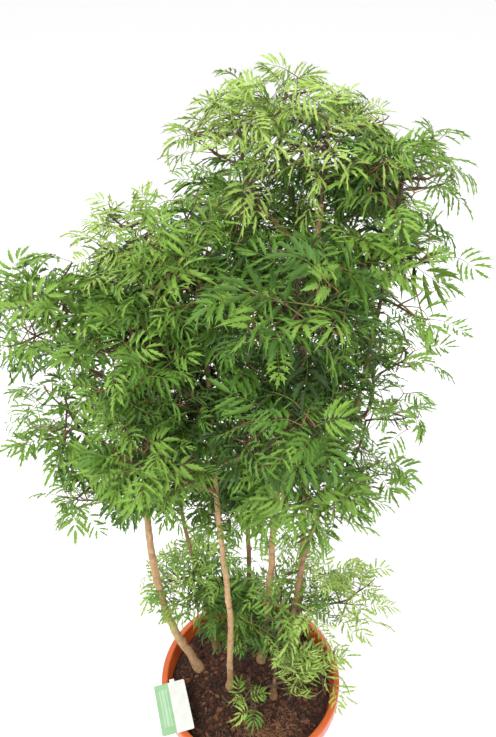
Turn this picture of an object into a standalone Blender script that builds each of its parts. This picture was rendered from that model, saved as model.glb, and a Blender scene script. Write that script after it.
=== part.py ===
"""A ming aralia in a round plastic pot. Eight woody stems rise from bark compost, fork into boughs
and carry masses of lacy leaves. A blank label lies on the rim. Metres, +Z up. The origin is the
middle of the pot's flat underside, and the plant is seen first from the -Y side."""

import math
import random
from collections import namedtuple

import bmesh
import bpy
import numpy as np
from mathutils import Matrix, Vector
from mathutils.bvhtree import BVHTree

UP = Vector((0.0, 0.0, 1.0))
SEAT = 0.0003  # the gap that keeps two touching solids apart

# The pot
RIM_ACROSS = 0.340
POT_TALL = 0.300
BASE_ACROSS = 0.236
WALL = 0.003
FLOOR = 0.004
LIP_WIDE = 0.012
LIP_DROP = 0.030
LIP_ROUND = 0.003
POT_SIDES = 40
DRAIN_HOLES = 8
DRAIN_SIDES = 8
DRAIN_ACROSS = 0.012
DRAIN_CIRCLE = 0.085
COMPOST_BELOW_RIM = 0.030
COMPOST_TOP = POT_TALL - COMPOST_BELOW_RIM
COMPOST_CLEAR = 0.0008  # from the wall, which is a little nearer at the middle of each of its sides

# The label: a card that lies across the rim, with a tongue that bends down inside the pot's wall
CARD_WIDE = 0.058
CARD_LONG = 0.098
CARD_THICK = 0.0008
CARD_CENTRE = (-0.142, -0.067)
CARD_TURN_DEG = 15.5
TONGUE_WIDE = 0.009
TONGUE_ASIDE = 0.006  # from the card's middle line, which brings it inside the rim
TONGUE_LONG = 0.005
TONGUE_BEND_DEG = 80
TONGUE_BEND_RADIUS = 0.0004
TONGUE_DROP = 0.024
TONGUE_INWARD = 0.006

# The stems
STEM_SIDES = 7
STEM_POINTS = 8
TIP_SHARE = 0.42  # a stem's tip across, as a share of its foot
FLARE = 1.35  # the foot across, as a share of the stem just above it
FLARE_HIGH = 0.03
WANDER = 0.005
STEM_INTO_MASS = 0.62  # how far under a mass's middle its stem ends, as a share of its half height

# The boughs
BOUGH_SIDES = 6
BOUGH_POINTS = 5
BOUGH_ACROSS = 0.0085
BOUGH_TIP_ACROSS = 0.0055
BOUGH_RISE = 0.9  # how steeply a bough leaves its stem, against one part outwards
BOUGH_UNDER = (0.03, 0.30)  # how far under its mass a bough may leave its stem
BOUGH_LEAVES_STEM = 0.16  # and how far under it leaves best
SHORTEST_BOUGH = 0.055  # a mass nearer than this grows straight from its stem

# The twigs of a mass
TWIG_ACROSS = 0.0056
TWIG_TIP_ACROSS = 0.0036
CORE_POINTS = 4
CORE_TOP = 0.35  # how far over the middle a mass's own stem ends, as a share of its half height
SHOOTS = 4
SHOOT_SHARES = (0.58, 0.45, 0.32)  # the lengths tried, as shares of the mass's half width

# The leaves. Each is one blade that stands for a whole lacy leaf.
LEAVES = 17
FEWER_LEAVES = 13
SMALL_MASS = 0.088  # a mass with less than this half width has fewer leaves
SPOT_SHARES = (0.97, 0.88, 0.78, 0.68, 0.58)  # how near the skin of its mass a leaf may end
LEAF_WIDE = 0.29  # as a share of its length
LEAF_THICK = 0.034
WIDEST = 0.5  # how far along a leaf is widest
THICKEST = 0.14
SHORTEST_LEAF = 0.35  # as a share of its mass's half width
LONGEST_LEAF = 1.4
ROLLS = (1.0, -1.0)  # how far a leaf may be turned about its own line, in radians, after a small turn
SUNK = 0.0005  # how far past the middle of its twig a leaf's root goes

# The gaps
CELL_GAP = 0.0012  # from a mass's space to its neighbour's, on each side
LIMB_GAP = 0.0012
LEAF_GAP = 0.003
POT_GAP = 0.004

GOLDEN = math.pi * (3 - math.sqrt(5))

# Each tier is a ring of masses: its height, its distance from its own axis, how many masses it has,
# where the first stands, half the width and half the height of each, and where the axis stands.
Tier = namedtuple("Tier", "name tall reach count first_deg half_wide half_tall x y")
TIERS = (
    Tier("top", 1.308, 0.055, 3, 210, 0.092, 0.090, 0.034, 0.032),
    Tier("shoulder", 1.265, 0.055, 2, -60, 0.094, 0.088, 0.136, 0.035),
    Tier("upper", 1.170, 0.115, 5, -90, 0.112, 0.096, 0.048, 0.012),
    Tier("middle", 1.015, 0.120, 5, -90, 0.110, 0.100, 0.042, 0.020),
    Tier("lower", 0.850, 0.100, 4, 0, 0.110, 0.108, 0.070, 0.045),
    Tier("hem", 0.690, 0.030, 1, 180, 0.100, 0.090, 0.000, 0.060),
    Tier("left_top", 1.165, 0.000, 1, 0, 0.086, 0.080, -0.150, 0.060),
    Tier("left_upper", 1.085, 0.080, 3, 180, 0.102, 0.088, -0.182, 0.008),
    Tier("left_lower", 0.925, 0.080, 3, 180, 0.100, 0.098, -0.178, 0.010),
    Tier("left_hem", 0.797, 0.050, 2, 180, 0.082, 0.088, -0.200, 0.010),
)

# The low growth: each mass rises from one stem, at its height and its way out from that stem's foot.
Shoot = namedtuple("Shoot", "name stem tall out_deg out half_wide half_tall")
LOW_GROWTH = (
    Shoot("low_right", "stem_right", 0.405, -5, 0.100, 0.100, 0.090),
    Shoot("low_rim", "stem_stub", 0.330, 0, 0.090, 0.084, 0.054),
    Shoot("low_centre", "stem_stub", 0.480, 80, 0.075, 0.115, 0.125),
    Shoot("low_back", "stem_centre", 0.385, 150, 0.050, 0.095, 0.080),
    Shoot("low_left", "stem_mid_left", 0.460, 185, 0.035, 0.105, 0.125),
    Shoot("low_front", "stem_stub", 0.318, 215, 0.078, 0.054, 0.038),
)

# The stems: where the foot stands, the lean at the foot, the thickness and the mass at the tip
Stem = namedtuple("Stem", "name x y lean_x lean_y across mass")
STEMS = (
    Stem("stem_left", -0.102, 0.030, -0.42, 0.00, 0.0168, "left_top_1"),
    Stem("stem_mid_left", -0.070, 0.075, -0.08, 0.00, 0.0110, "left_lower_3"),
    Stem("stem_front", -0.040, -0.010, 0.03, 0.00, 0.0125, "upper_5"),
    Stem("stem_centre", 0.022, 0.045, 0.02, 0.00, 0.0145, "top_2"),
    Stem("stem_back", 0.000, 0.095, 0.00, 0.05, 0.0110, "upper_4"),
    Stem("stem_right", 0.094, 0.085, -0.02, 0.00, 0.0130, "shoulder_2"),
    Stem("stem_far_right", 0.072, 0.030, -0.03, -0.02, 0.0110, "upper_2"),
)
STUB = Stem("stem_stub", 0.044, -0.028, 0.02, 0.02, 0.0130, None)
STUB_TALL = 0.060

Mass = namedtuple("Mass", "name centre half stem")


def on_circle(x, y, radius, degrees, tall):
    """The point that far from an upright axis, that way round it."""
    angle = math.radians(degrees)
    return Vector((x + radius * math.cos(angle), y + radius * math.sin(angle), tall))


def all_masses():
    """Every mass: the crown's from the tiers, then the low growth, placed from the feet of its stems."""
    masses = []
    for tier in TIERS:
        half = Vector((tier.half_wide, tier.half_wide, tier.half_tall))
        for k in range(tier.count):
            centre = on_circle(tier.x, tier.y, tier.reach, tier.first_deg + 360 * k / tier.count, tier.tall)
            masses.append(Mass(f"{tier.name}_{k + 1}", centre, half, None))
    feet = {stem.name: stem for stem in (*STEMS, STUB)}
    for shoot in LOW_GROWTH:
        foot = feet[shoot.stem]
        half = Vector((shoot.half_wide, shoot.half_wide, shoot.half_tall))
        centre = on_circle(foot.x, foot.y, shoot.out, shoot.out_deg, shoot.tall)
        masses.append(Mass(shoot.name, centre, half, shoot.stem))
    return masses


MASSES = all_masses()


def in_space(points, mass, room=0.0, stretch=1.0):
    """True if each point is in the mass's egg, on its own side of each neighbour, and clear of the pot."""
    spots = np.array([tuple(point) for point in points])
    own = np.array(mass.centre)
    half = np.array(mass.half)
    if (((spots - own) / half) ** 2).sum(axis=1).max() > stretch**2:
        return False
    mine = ((spots - own) ** 2).sum(axis=1) - half[0] ** 2
    for other in MASSES:
        if other.name == mass.name:
            continue
        apart = (other.centre - mass.centre).length
        theirs = ((spots - np.array(other.centre)) ** 2).sum(axis=1) - other.half[0] ** 2
        if (mine > theirs - 2 * (CELL_GAP + room) * apart).any():
            return False
    return clear_of_pot(spots, mass)


def clear_of_pot(spots, mass):
    """True if the points are all above the rim, all inside it and over the compost, or all outside it."""
    if spots[:, 2].min() > POT_TALL + POT_GAP:
        return True
    over_compost = spots[:, 2].min() > COMPOST_TOP + POT_GAP
    inside = np.hypot(spots[:, 0], spots[:, 1]).max() < RIM_ACROSS / 2 - LIP_WIDE - 2 * POT_GAP
    outward = np.array(Vector((mass.centre.x, mass.centre.y)).normalized())
    outside = (spots[:, :2] @ outward).min() > RIM_ACROSS / 2 + POT_GAP
    return (inside and over_compost) or outside


class Wood:
    """The limbs made so far, as short straight pieces that each new piece has to clear."""

    def __init__(self):
        self.starts = []
        self.ends = []
        self.radii = []
        self.owners = []

    def add(self, name, path, radii):
        for start, end, radius in zip(path, path[1:], radii):
            self.starts.append(tuple(start))
            self.ends.append(tuple(end))
            self.radii.append(radius)
            self.owners.append(name)

    def gap(self, start, end, left_out=None):
        """The least gap from one straight line to any limb, but for the limb that is left out."""
        keep = np.array([owner != left_out for owner in self.owners])
        limb = np.array(self.starts)[keep]
        along_limb = np.array(self.ends)[keep] - limb
        line = np.array(end) - np.array(start)
        away = np.array(start) - limb
        line_sq = max(line @ line, 1e-12)
        limb_sq = (along_limb * along_limb).sum(axis=1)
        both = along_limb @ line
        away_line = away @ line
        away_limb = (along_limb * away).sum(axis=1)
        square = np.maximum(line_sq * limb_sq - both * both, 1e-12)
        on_line = (both * away_limb - away_line * limb_sq) / square
        on_limb = np.clip((both * np.clip(on_line, 0, 1) + away_limb) / limb_sq, 0, 1)
        on_line = np.clip((both * on_limb - away_line) / line_sq, 0, 1)
        apart = away + on_line[:, None] * line - on_limb[:, None] * along_limb
        return float((np.sqrt((apart**2).sum(axis=1)) - np.array(self.radii)[keep]).min())


def curve(start, leave, arrive, end, count):
    """Points along a smooth curve. It leaves towards one point and arrives from another."""
    points = []
    for k in range(count):
        t = k / (count - 1)
        s = 1 - t
        points.append(start * s**3 + leave * 3 * t * s * s + arrive * 3 * t * t * s + end * t**3)
    return points


def resampled(path, count):
    """The same line with that many points, evenly spread."""
    steps = [(b - a).length for a, b in zip(path, path[1:])]
    far = np.concatenate([[0.0], np.cumsum(steps)])
    table = np.array([tuple(point) for point in path])
    at = np.linspace(0, far[-1], count)
    return [Vector(spot) for spot in np.stack([np.interp(at, far, table[:, j]) for j in range(3)], axis=1)]


def tube(path, radii, sides, cut):
    """A tapered limb. The cut is a point and a normal, and the limb's first ring lies in that plane."""
    bm = bmesh.new()
    rings = []
    side = None
    for k, point in enumerate(path):
        along = (path[min(k + 1, len(path) - 1)] - path[max(k - 1, 0)]).normalized()
        side = along.orthogonal() if side is None else side - along * side.dot(along)
        side.normalize()
        across = along.cross(side)
        ring = []
        for j in range(sides):
            angle = 2 * math.pi * j / sides
            spot = point + (side * math.cos(angle) + across * math.sin(angle)) * radii[k]
            if k == 0 and cut:
                spot = spot + along * ((cut[0] - spot).dot(cut[1]) / along.dot(cut[1]))
            ring.append(bm.verts.new(spot))
        rings.append(ring)
    for low, high in zip(rings, rings[1:]):
        for j in range(sides):
            bm.faces.new((low[j], low[(j + 1) % sides], high[(j + 1) % sides], high[j]))
    bm.faces.new(reversed(rings[0]))
    bm.faces.new(rings[-1])
    return bm


def blade(root, tip, face_up, width):
    """One leaf of eight faces: thickest close to its root, and widest near its middle."""
    bm = bmesh.new()
    along = tip - root
    side = along.cross(face_up).normalized() * width / 2
    thick = side.cross(along).normalized() * LEAF_THICK * along.length / 2
    middle = root + along * WIDEST
    shoulder = root + along * THICKEST
    belt = [bm.verts.new(spot) for spot in (middle + side, shoulder + thick, middle - side, shoulder - thick)]
    ends = [bm.verts.new(root), bm.verts.new(tip)]
    for j in range(4):
        bm.faces.new((ends[0], belt[j], belt[(j + 1) % 4]))
        bm.faces.new((ends[1], belt[(j + 1) % 4], belt[j]))
    bmesh.ops.recalc_face_normals(bm, faces=bm.faces)
    return bm


def add_object(name, bm, material, smooth_deg=None):
    bmesh.ops.recalc_face_normals(bm, faces=bm.faces)
    mesh = bpy.data.meshes.new(name)
    bm.to_mesh(mesh)
    bm.free()
    mesh.materials.append(material)
    if smooth_deg:
        mesh.shade_smooth()
        mesh.set_sharp_from_angle(angle=math.radians(smooth_deg))
    made = bpy.data.objects.new(name, mesh)
    bpy.context.scene.collection.objects.link(made)
    return made


def finish(name, colour, roughness):
    material = bpy.data.materials.new(name)
    material.use_nodes = True
    shader = material.node_tree.nodes["Principled BSDF"]
    shader.inputs["Base Color"].default_value = (*colour, 1.0)
    shader.inputs["Roughness"].default_value = roughness
    shader.inputs["Metallic"].default_value = 0.0
    return material


def turned(name, profile, material):
    """A solid turned about the Z axis from points of radius and height, the first and last on the axis."""
    bm = bmesh.new()
    points = [bm.verts.new((radius, 0.0, tall)) for radius, tall in profile]
    edges = [bm.edges.new(pair) for pair in zip(points, points[1:])]
    bmesh.ops.spin(
        bm, geom=points + edges, axis=UP, cent=(0, 0, 0), angle=2 * math.pi, steps=POT_SIDES, use_merge=True
    )
    bmesh.ops.remove_doubles(bm, verts=bm.verts, dist=1e-6)
    return add_object(name, bm, material, 35)


def add_pot(material):
    """The wall and floor in one shell. The flat lip turns down outside, and the floor has drain holes."""
    rim = RIM_ACROSS / 2
    base = BASE_ACROSS / 2
    slope = (rim - LIP_WIDE + WALL - base) / POT_TALL
    profile = [
        (0.0, 0.0),
        (base, 0.0),
        (base + slope * (POT_TALL - LIP_DROP), POT_TALL - LIP_DROP),
        (rim, POT_TALL - LIP_DROP),
        (rim, POT_TALL - LIP_ROUND),
        (rim - LIP_ROUND, POT_TALL),
        (rim - LIP_WIDE + LIP_ROUND, POT_TALL),
        (rim - LIP_WIDE, POT_TALL - LIP_ROUND),
        (base - WALL + slope * FLOOR, FLOOR),
        (0.0, FLOOR),
    ]
    pot = turned("pot", profile, material)
    drill = bmesh.new()
    for k in range(DRAIN_HOLES):
        bmesh.ops.create_cone(
            drill,
            cap_ends=True,
            segments=DRAIN_SIDES,
            radius1=DRAIN_ACROSS / 2,
            radius2=DRAIN_ACROSS / 2,
            depth=4 * FLOOR,
            matrix=Matrix.Translation(on_circle(0.0, 0.0, DRAIN_CIRCLE, 360 * (k + 0.5) / DRAIN_HOLES, 0.0)),
        )
    cutter = add_object("drain_cutter", drill, material)
    cutter.hide_render = True
    cutter.display_type = "WIRE"
    holes = pot.modifiers.new("drain holes", "BOOLEAN")
    holes.object = cutter
    holes.operation = "DIFFERENCE"


def add_compost(material):
    """The compost fills the pot to under its rim."""
    slope = (RIM_ACROSS / 2 - LIP_WIDE + WALL - BASE_ACROSS / 2) / POT_TALL
    inner = BASE_ACROSS / 2 - WALL - COMPOST_CLEAR
    profile = [
        (0.0, FLOOR + SEAT),
        (inner + slope * FLOOR, FLOOR + SEAT),
        (inner + slope * COMPOST_TOP, COMPOST_TOP),
        (0.0, COMPOST_TOP),
    ]
    turned("compost", profile, material)


def add_label(material):
    """A thin blank card on the rim. Its tongue is bent down inside the rim towards the compost."""
    bm = bmesh.new()
    wide = CARD_WIDE / 2
    long = CARD_LONG / 2
    left = TONGUE_ASIDE - TONGUE_WIDE / 2
    right = TONGUE_ASIDE + TONGUE_WIDE / 2
    bend = long + TONGUE_LONG
    outline = [
        (-wide, -long), (wide, -long), (wide, long),
        (right, long), (right, bend), (left, bend), (left, long),
        (-wide, long),
    ]
    card = bm.faces.new([bm.verts.new((x, y, 0.0)) for x, y in outline])
    grown = bmesh.ops.extrude_face_region(bm, geom=[card])
    raised = [piece for piece in grown["geom"] if isinstance(piece, bmesh.types.BMVert)]
    bmesh.ops.translate(bm, verts=raised, vec=UP * CARD_THICK)
    bmesh.ops.recalc_face_normals(bm, faces=bm.faces)
    end = max(bm.faces, key=lambda face: face.calc_center_median().y)
    bent = bmesh.ops.extrude_discrete_faces(bm, faces=[end])["faces"][0]
    downward = Matrix.Rotation(math.radians(-TONGUE_BEND_DEG), 3, "X")
    bmesh.ops.rotate(bm, verts=bent.verts, cent=(0.0, bend, -TONGUE_BEND_RADIUS), matrix=downward)
    tip = bmesh.ops.extrude_discrete_faces(bm, faces=[bent])["faces"][0]
    bmesh.ops.translate(bm, verts=tip.verts, vec=(TONGUE_INWARD, 0.0, -TONGUE_DROP))
    turn = Matrix.Rotation(math.radians(CARD_TURN_DEG), 4, "Z")
    bmesh.ops.transform(bm, verts=bm.verts, matrix=Matrix.Translation((*CARD_CENTRE, POT_TALL + SEAT)) @ turn)
    add_object("label", bm, material)


def stem_path(stem, mass):
    """From the foot on the compost, with its own lean, up to where it enters the mass at its tip."""
    foot = Vector((stem.x, stem.y, COMPOST_TOP + SEAT))
    level = Vector((mass.centre.x - stem.x, mass.centre.y - stem.y, 0.0))
    arrive = (UP + level * 0.8).normalized()
    tip = mass.centre - arrive * mass.half.z * STEM_INTO_MASS
    rise = tip.z - foot.z
    leave = foot + Vector((stem.lean_x, stem.lean_y, 1.0)) * rise * 0.36
    path = curve(foot, leave, tip - arrive * rise * 0.34, tip, STEM_POINTS)
    turn = random.Random(stem.name).uniform(0, 2 * math.pi)
    for k, point in enumerate(path):
        t = k / (STEM_POINTS - 1)
        swing = WANDER * math.sin(math.pi * t) * math.sin(3.1 * math.pi * t + turn)
        point += Vector((math.cos(turn), math.sin(turn), 0.0)) * swing
    return with_flare_ring(path)


def with_flare_ring(path):
    """The same path with one more point at the top of the root flare."""
    share = FLARE_HIGH / (path[1].z - path[0].z)
    return [path[0], path[0].lerp(path[1], share), *path[1:]]


def stem_radii(path, across):
    """The taper from foot to tip, with the root flare over the first few centimetres."""
    radii = []
    for k, point in enumerate(path):
        taper = 1 - (1 - TIP_SHARE) * k / (len(path) - 1)
        flare = 1 + (FLARE - 1) * max(0.0, 1 - (point.z - path[0].z) / FLARE_HIGH) ** 2
        radii.append(across / 2 * taper * flare)
    return radii


def add_stems(material, wood):
    """All eight stems. It returns each one's path and radii."""
    masses = {mass.name: mass for mass in MASSES}
    stub_foot = Vector((STUB.x, STUB.y, COMPOST_TOP + SEAT))
    stub_top = stub_foot + Vector((STUB.lean_x, STUB.lean_y, 1.0)) * STUB_TALL
    paths = {stem.name: stem_path(stem, masses[stem.mass]) for stem in STEMS}
    paths[STUB.name] = with_flare_ring([stub_foot, stub_top])
    stems = {}
    for stem in (*STEMS, STUB):
        path = paths[stem.name]
        radii = stem_radii(path, stem.across)
        add_object(stem.name, tube(path, radii, STEM_SIDES, (path[0], UP)), material, 50)
        wood.add(stem.name, path, radii)
        stems[stem.name] = (path, radii)
    return stems


def beside(path, radii, k, share, mass):
    """A seat on a stem's side that faces the mass: where it is, and the way out from the stem there."""
    foot = path[k].lerp(path[k + 1], share)
    radius = radii[k] + (radii[k + 1] - radii[k]) * share
    grain = (path[k + 1] - path[k]).normalized()
    level = Vector((mass.centre.x - foot.x, mass.centre.y - foot.y, 0.0))
    out = (level - grain * level.dot(grain)).normalized()
    return foot + out * (radius + SEAT), out


def best_bough(mass, stems, wood):
    """The nearest way from a stem into the mass that clears all other wood, and its seat on the stem."""
    best = None
    for name, (path, radii) in stems.items():
        for k, share in [(k, share) for k in range(2, len(path) - 1) for share in (0.0, 0.5)]:
            start, out = beside(path, radii, k, share, mass)
            under = mass.centre.z - start.z
            if not BOUGH_UNDER[0] < under < BOUGH_UNDER[1]:
                continue
            reach = (mass.centre - start).length
            leave = start + (out + UP * BOUGH_RISE).normalized() * reach * 0.4
            way = curve(start, leave, mass.centre - UP * reach * 0.25, mass.centre, 13)
            inside = [i for i, point in enumerate(way) if in_space([point], mass)]
            if not inside or inside[0] > 11:
                continue
            way = way[: inside[0] + 2]
            clear = min(wood.gap(a, b, name) for a, b in zip(way, way[1:])) > BOUGH_ACROSS / 2 + LIMB_GAP
            cost = reach + 0.8 * abs(under - BOUGH_LEAVES_STEM)
            if clear and (best is None or cost < best[0]):
                best = (cost, way, (start, out))
    if best is None:
        raise ValueError(f"no clear bough for {mass.name}")
    return best[1], best[2]


def tip_of(path):
    """Where a mass's own stem starts on the tip of a limb: the place, the way on and the cut."""
    along = (path[-1] - path[-2]).normalized()
    start = path[-1] + along * SEAT
    return start, along, (start, along)


def side_shoot(mass, path, radii):
    """Where a low mass starts, on the side of its stem or close under the stem's top."""
    high = min(path[-1].z - 0.004, mass.centre.z - mass.half.z * 0.35)
    k = max(i for i, point in enumerate(path[:-1]) if point.z <= high)
    share = (high - path[k].z) / (path[k + 1].z - path[k].z)
    start, out = beside(path, radii, k, share, mass)
    return start, (out + UP * 0.6).normalized(), (start, out)


def add_boughs(material, stems, wood):
    """A bough for each mass that needs one. It returns where each mass's own stem starts."""
    carried = {stem.mass: stem.name for stem in STEMS}
    tall_stems = {stem.name: stems[stem.name] for stem in STEMS}
    starts = {}
    for mass in MASSES:
        if mass.name in carried:
            starts[mass.name] = tip_of(stems[carried[mass.name]][0])
            continue
        if mass.stem:
            starts[mass.name] = side_shoot(mass, *stems[mass.stem])
            continue
        way, seat = best_bough(mass, tall_stems, wood)
        if (way[-1] - way[0]).length < SHORTEST_BOUGH:
            starts[mass.name] = (seat[0], (way[-1] - way[0]).normalized(), seat)
            continue
        path = resampled(way, BOUGH_POINTS)
        radii = np.linspace(BOUGH_ACROSS / 2, BOUGH_TIP_ACROSS / 2, BOUGH_POINTS)
        name = "bough_" + mass.name
        add_object(name, tube(path, radii, BOUGH_SIDES, seat), material, 50)
        wood.add(name, path, radii)
        starts[mass.name] = tip_of(path)
    return starts


def grown_core(mass, start, along, wood, draw):
    """The stem of a mass, from its bough to above its middle. It sways until it clears all wood."""
    for attempt in range(60):
        sway = Vector((draw.uniform(-1, 1), draw.uniform(-1, 1), draw.uniform(-0.6, 0.3)))
        top = mass.centre + UP * mass.half.z * CORE_TOP + sway * mass.half.x * 0.015 * attempt
        reach = (top - start).length
        core = curve(start, start + along * reach * 0.4, top - UP * reach * 0.3, top, CORE_POINTS)
        clear = all(wood.gap(a, b) > TWIG_ACROSS / 2 + LIMB_GAP for a, b in zip(core[1:], core[2:]))
        if clear and in_space(core[1:], mass, TWIG_ACROSS / 2, 1.5):
            return core
    raise ValueError(f"no clear way for the stem of {mass.name}")


def grown_shoots(mass, core, wood, draw):
    """The side shoots, which turn round the stem by the golden angle and rise as they go out."""
    shoots = []
    line = resampled(core, 21)
    turn = draw.uniform(0, 2 * math.pi)
    for k in range(SHOOTS * 4):
        if len(shoots) == SHOOTS:
            break
        turn += GOLDEN
        root = line[int(20 * (0.35 + 0.6 * (k % SHOOTS) / SHOOTS))]
        lean = Vector((math.cos(turn), math.sin(turn), draw.uniform(0.0, 0.7))).normalized()
        for share in SHOOT_SHARES:
            tip = root + lean * mass.half.x * share
            clear = wood.gap(root.lerp(tip, 0.1), tip) > TWIG_ACROSS / 2 + LIMB_GAP
            if clear and in_space([tip], mass, TWIG_ACROSS / 2):
                shoots.append([root, tip])
                break
    return shoots


def leaf_spots(mass, count, draw):
    """Spots spread evenly over the mass's egg, each pulled in until it is in the mass's own space."""
    turn = draw.uniform(0, 2 * math.pi)
    for k in range(count):
        high = 1 - 2 * (k + 0.5) / count
        level = math.sqrt(1 - high * high)
        turn += GOLDEN
        out = Vector((math.cos(turn) * level, math.sin(turn) * level, high)) * mass.half
        for share in SPOT_SHARES:
            if in_space([mass.centre + out * share], mass):
                yield mass.centre + out * share
                break


def clears_wood(root, tip, side, wood):
    """True if the lines over a blade, its middle and its edges, keep the leaf gap to all wood."""
    middle = root.lerp(tip, WIDEST)
    lines = [(root.lerp(tip, 0.12), tip)]
    for share in (-1.0, -0.54, 0.54, 1.0):
        edge = middle + side * share
        lines += [(root.lerp(edge, 0.25), edge), (edge, tip)]
    return all(wood.gap(a, b) > LEAF_GAP for a, b in lines)


def leaf_to(spot, mass, roots, twig_shapes, leaf_shapes, wood, draw):
    """The first clear leaf from a twig to the spot. The roots that suit the usual length come first."""
    usual = mass.half.x
    ranked = sorted(
        roots, key=lambda root: abs((spot - root[0]).length - usual) - 0.3 * (root[0] - mass.centre).length
    )
    for root, own_twig in ranked[:24]:
        aim = (spot - root).normalized()
        length = (spot - root).length
        if not SHORTEST_LEAF * usual < length < LONGEST_LEAF * usual:
            continue
        others = leaf_shapes + [shape for k, shape in enumerate(twig_shapes) if k != own_twig]
        flat = aim.cross(UP) if abs(aim.z) < 0.98 else Vector((1.0, 0.0, 0.0))
        width = LEAF_WIDE * min(length, usual)
        for roll in (draw.uniform(-0.5, 0.5), *ROLLS):
            side = Matrix.Rotation(roll, 3, aim) @ flat.normalized() * width / 2
            middle = root.lerp(spot, WIDEST)
            corners = [spot, middle + side, middle - side, root + UP * 0.002, root - UP * 0.002]
            if not in_space(corners, mass) or not clears_wood(root, spot, side, wood):
                continue
            leaf = blade(root - aim * SUNK, spot, side.cross(aim), width)
            shape = BVHTree.FromBMesh(leaf)
            if not any(shape.overlap(other) for other in others):
                return leaf, shape
            leaf.free()
    return None


def add_mass(mass, start, along, cut, wood, material):
    """One mass: its own stem, shoots round it, and leaves on them all, fused into one solid."""
    draw = random.Random(mass.name)
    core = grown_core(mass, start, along, wood, draw)
    twigs = [core, *grown_shoots(mass, core, wood, draw)]
    pieces = [tube(core, np.linspace(TWIG_ACROSS / 2, TWIG_TIP_ACROSS / 2, CORE_POINTS), 3, cut)]
    for shoot in twigs[1:]:
        pieces.append(tube(shoot, (TWIG_TIP_ACROSS * 0.55, TWIG_TIP_ACROSS * 0.40), 3, None))
    twig_shapes = [BVHTree.FromBMesh(piece) for piece in pieces]
    roots = [(point, k) for k, twig in enumerate(twigs) for point in resampled(twig, 14)[4:-1]]
    leaf_shapes = []
    count = FEWER_LEAVES if mass.half.x < SMALL_MASS else LEAVES
    for spot in leaf_spots(mass, count, draw):
        grown = leaf_to(spot, mass, roots, twig_shapes, leaf_shapes, wood, draw)
        if grown:
            pieces.append(grown[0])
            leaf_shapes.append(grown[1])
    add_fused(mass.name, pieces, material)


def add_fused(name, pieces, material):
    """The pieces joined by one Boolean union, which is applied. The loose ones are then removed."""
    first = add_object(name, pieces[0], material)
    loose = bpy.data.collections.new(name + " pieces")
    bpy.context.scene.collection.children.link(loose)
    for k, piece in enumerate(pieces[1:]):
        part = add_object(f"{name} piece {k}", piece, material)
        bpy.context.scene.collection.objects.unlink(part)
        loose.objects.link(part)
    join = first.modifiers.new("join", "BOOLEAN")
    join.operation = "UNION"
    join.operand_type = "COLLECTION"
    join.collection = loose
    join.solver = "MANIFOLD"
    graph = bpy.context.evaluated_depsgraph_get()
    mesh = bpy.data.meshes.new_from_object(first.evaluated_get(graph))
    mesh.name = name
    first.modifiers.remove(join)
    first.data = mesh
    for part in list(loose.objects):
        bpy.data.objects.remove(part)
    bpy.data.collections.remove(loose)


def build():
    for old in list(bpy.data.objects):
        bpy.data.objects.remove(old)
    bark = finish("bark", (0.52, 0.33, 0.19), 0.8)
    leaf = finish("leaf", (0.09, 0.23, 0.03), 0.45)
    young_leaf = finish("young_leaf", (0.27, 0.40, 0.06), 0.45)
    add_pot(finish("pot_plastic", (0.80, 0.13, 0.02), 0.45))
    add_compost(finish("bark_compost", (0.11, 0.045, 0.022), 0.95))
    add_label(finish("label_card", (0.78, 0.88, 0.78), 0.4))
    wood = Wood()
    stems = add_stems(bark, wood)
    starts = add_boughs(bark, stems, wood)
    for mass in MASSES:
        young = mass.name.startswith(("top", "left_top", "low"))
        add_mass(mass, *starts[mass.name], wood, young_leaf if young else leaf)


build()
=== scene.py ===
"""The looks of a ming aralia in a round plastic pot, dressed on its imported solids. Metres, +Z up, with
the front of the plant towards -Y."""

import math
import random
from collections import namedtuple

import bmesh
import bpy
import numpy as np
from mathutils import Matrix, Vector, noise


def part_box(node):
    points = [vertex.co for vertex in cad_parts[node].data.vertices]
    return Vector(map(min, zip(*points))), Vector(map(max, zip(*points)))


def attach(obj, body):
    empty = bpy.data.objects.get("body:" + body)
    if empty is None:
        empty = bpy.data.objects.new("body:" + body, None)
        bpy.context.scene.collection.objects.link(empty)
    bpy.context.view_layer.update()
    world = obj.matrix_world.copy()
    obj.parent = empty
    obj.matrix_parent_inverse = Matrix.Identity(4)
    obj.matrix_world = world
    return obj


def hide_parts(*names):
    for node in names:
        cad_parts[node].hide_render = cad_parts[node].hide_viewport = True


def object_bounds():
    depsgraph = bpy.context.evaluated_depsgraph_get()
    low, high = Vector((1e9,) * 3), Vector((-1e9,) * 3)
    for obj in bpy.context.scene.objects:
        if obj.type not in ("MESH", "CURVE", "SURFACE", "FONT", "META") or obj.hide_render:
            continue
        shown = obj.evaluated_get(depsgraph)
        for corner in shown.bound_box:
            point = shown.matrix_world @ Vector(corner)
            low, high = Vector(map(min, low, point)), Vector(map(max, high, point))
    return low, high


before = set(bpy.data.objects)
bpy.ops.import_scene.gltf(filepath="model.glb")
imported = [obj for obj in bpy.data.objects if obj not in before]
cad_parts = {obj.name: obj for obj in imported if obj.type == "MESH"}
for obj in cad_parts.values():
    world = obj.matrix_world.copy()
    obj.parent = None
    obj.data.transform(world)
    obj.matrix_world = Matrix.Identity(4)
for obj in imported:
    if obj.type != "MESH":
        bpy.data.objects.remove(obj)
cad_low, cad_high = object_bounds()

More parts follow.
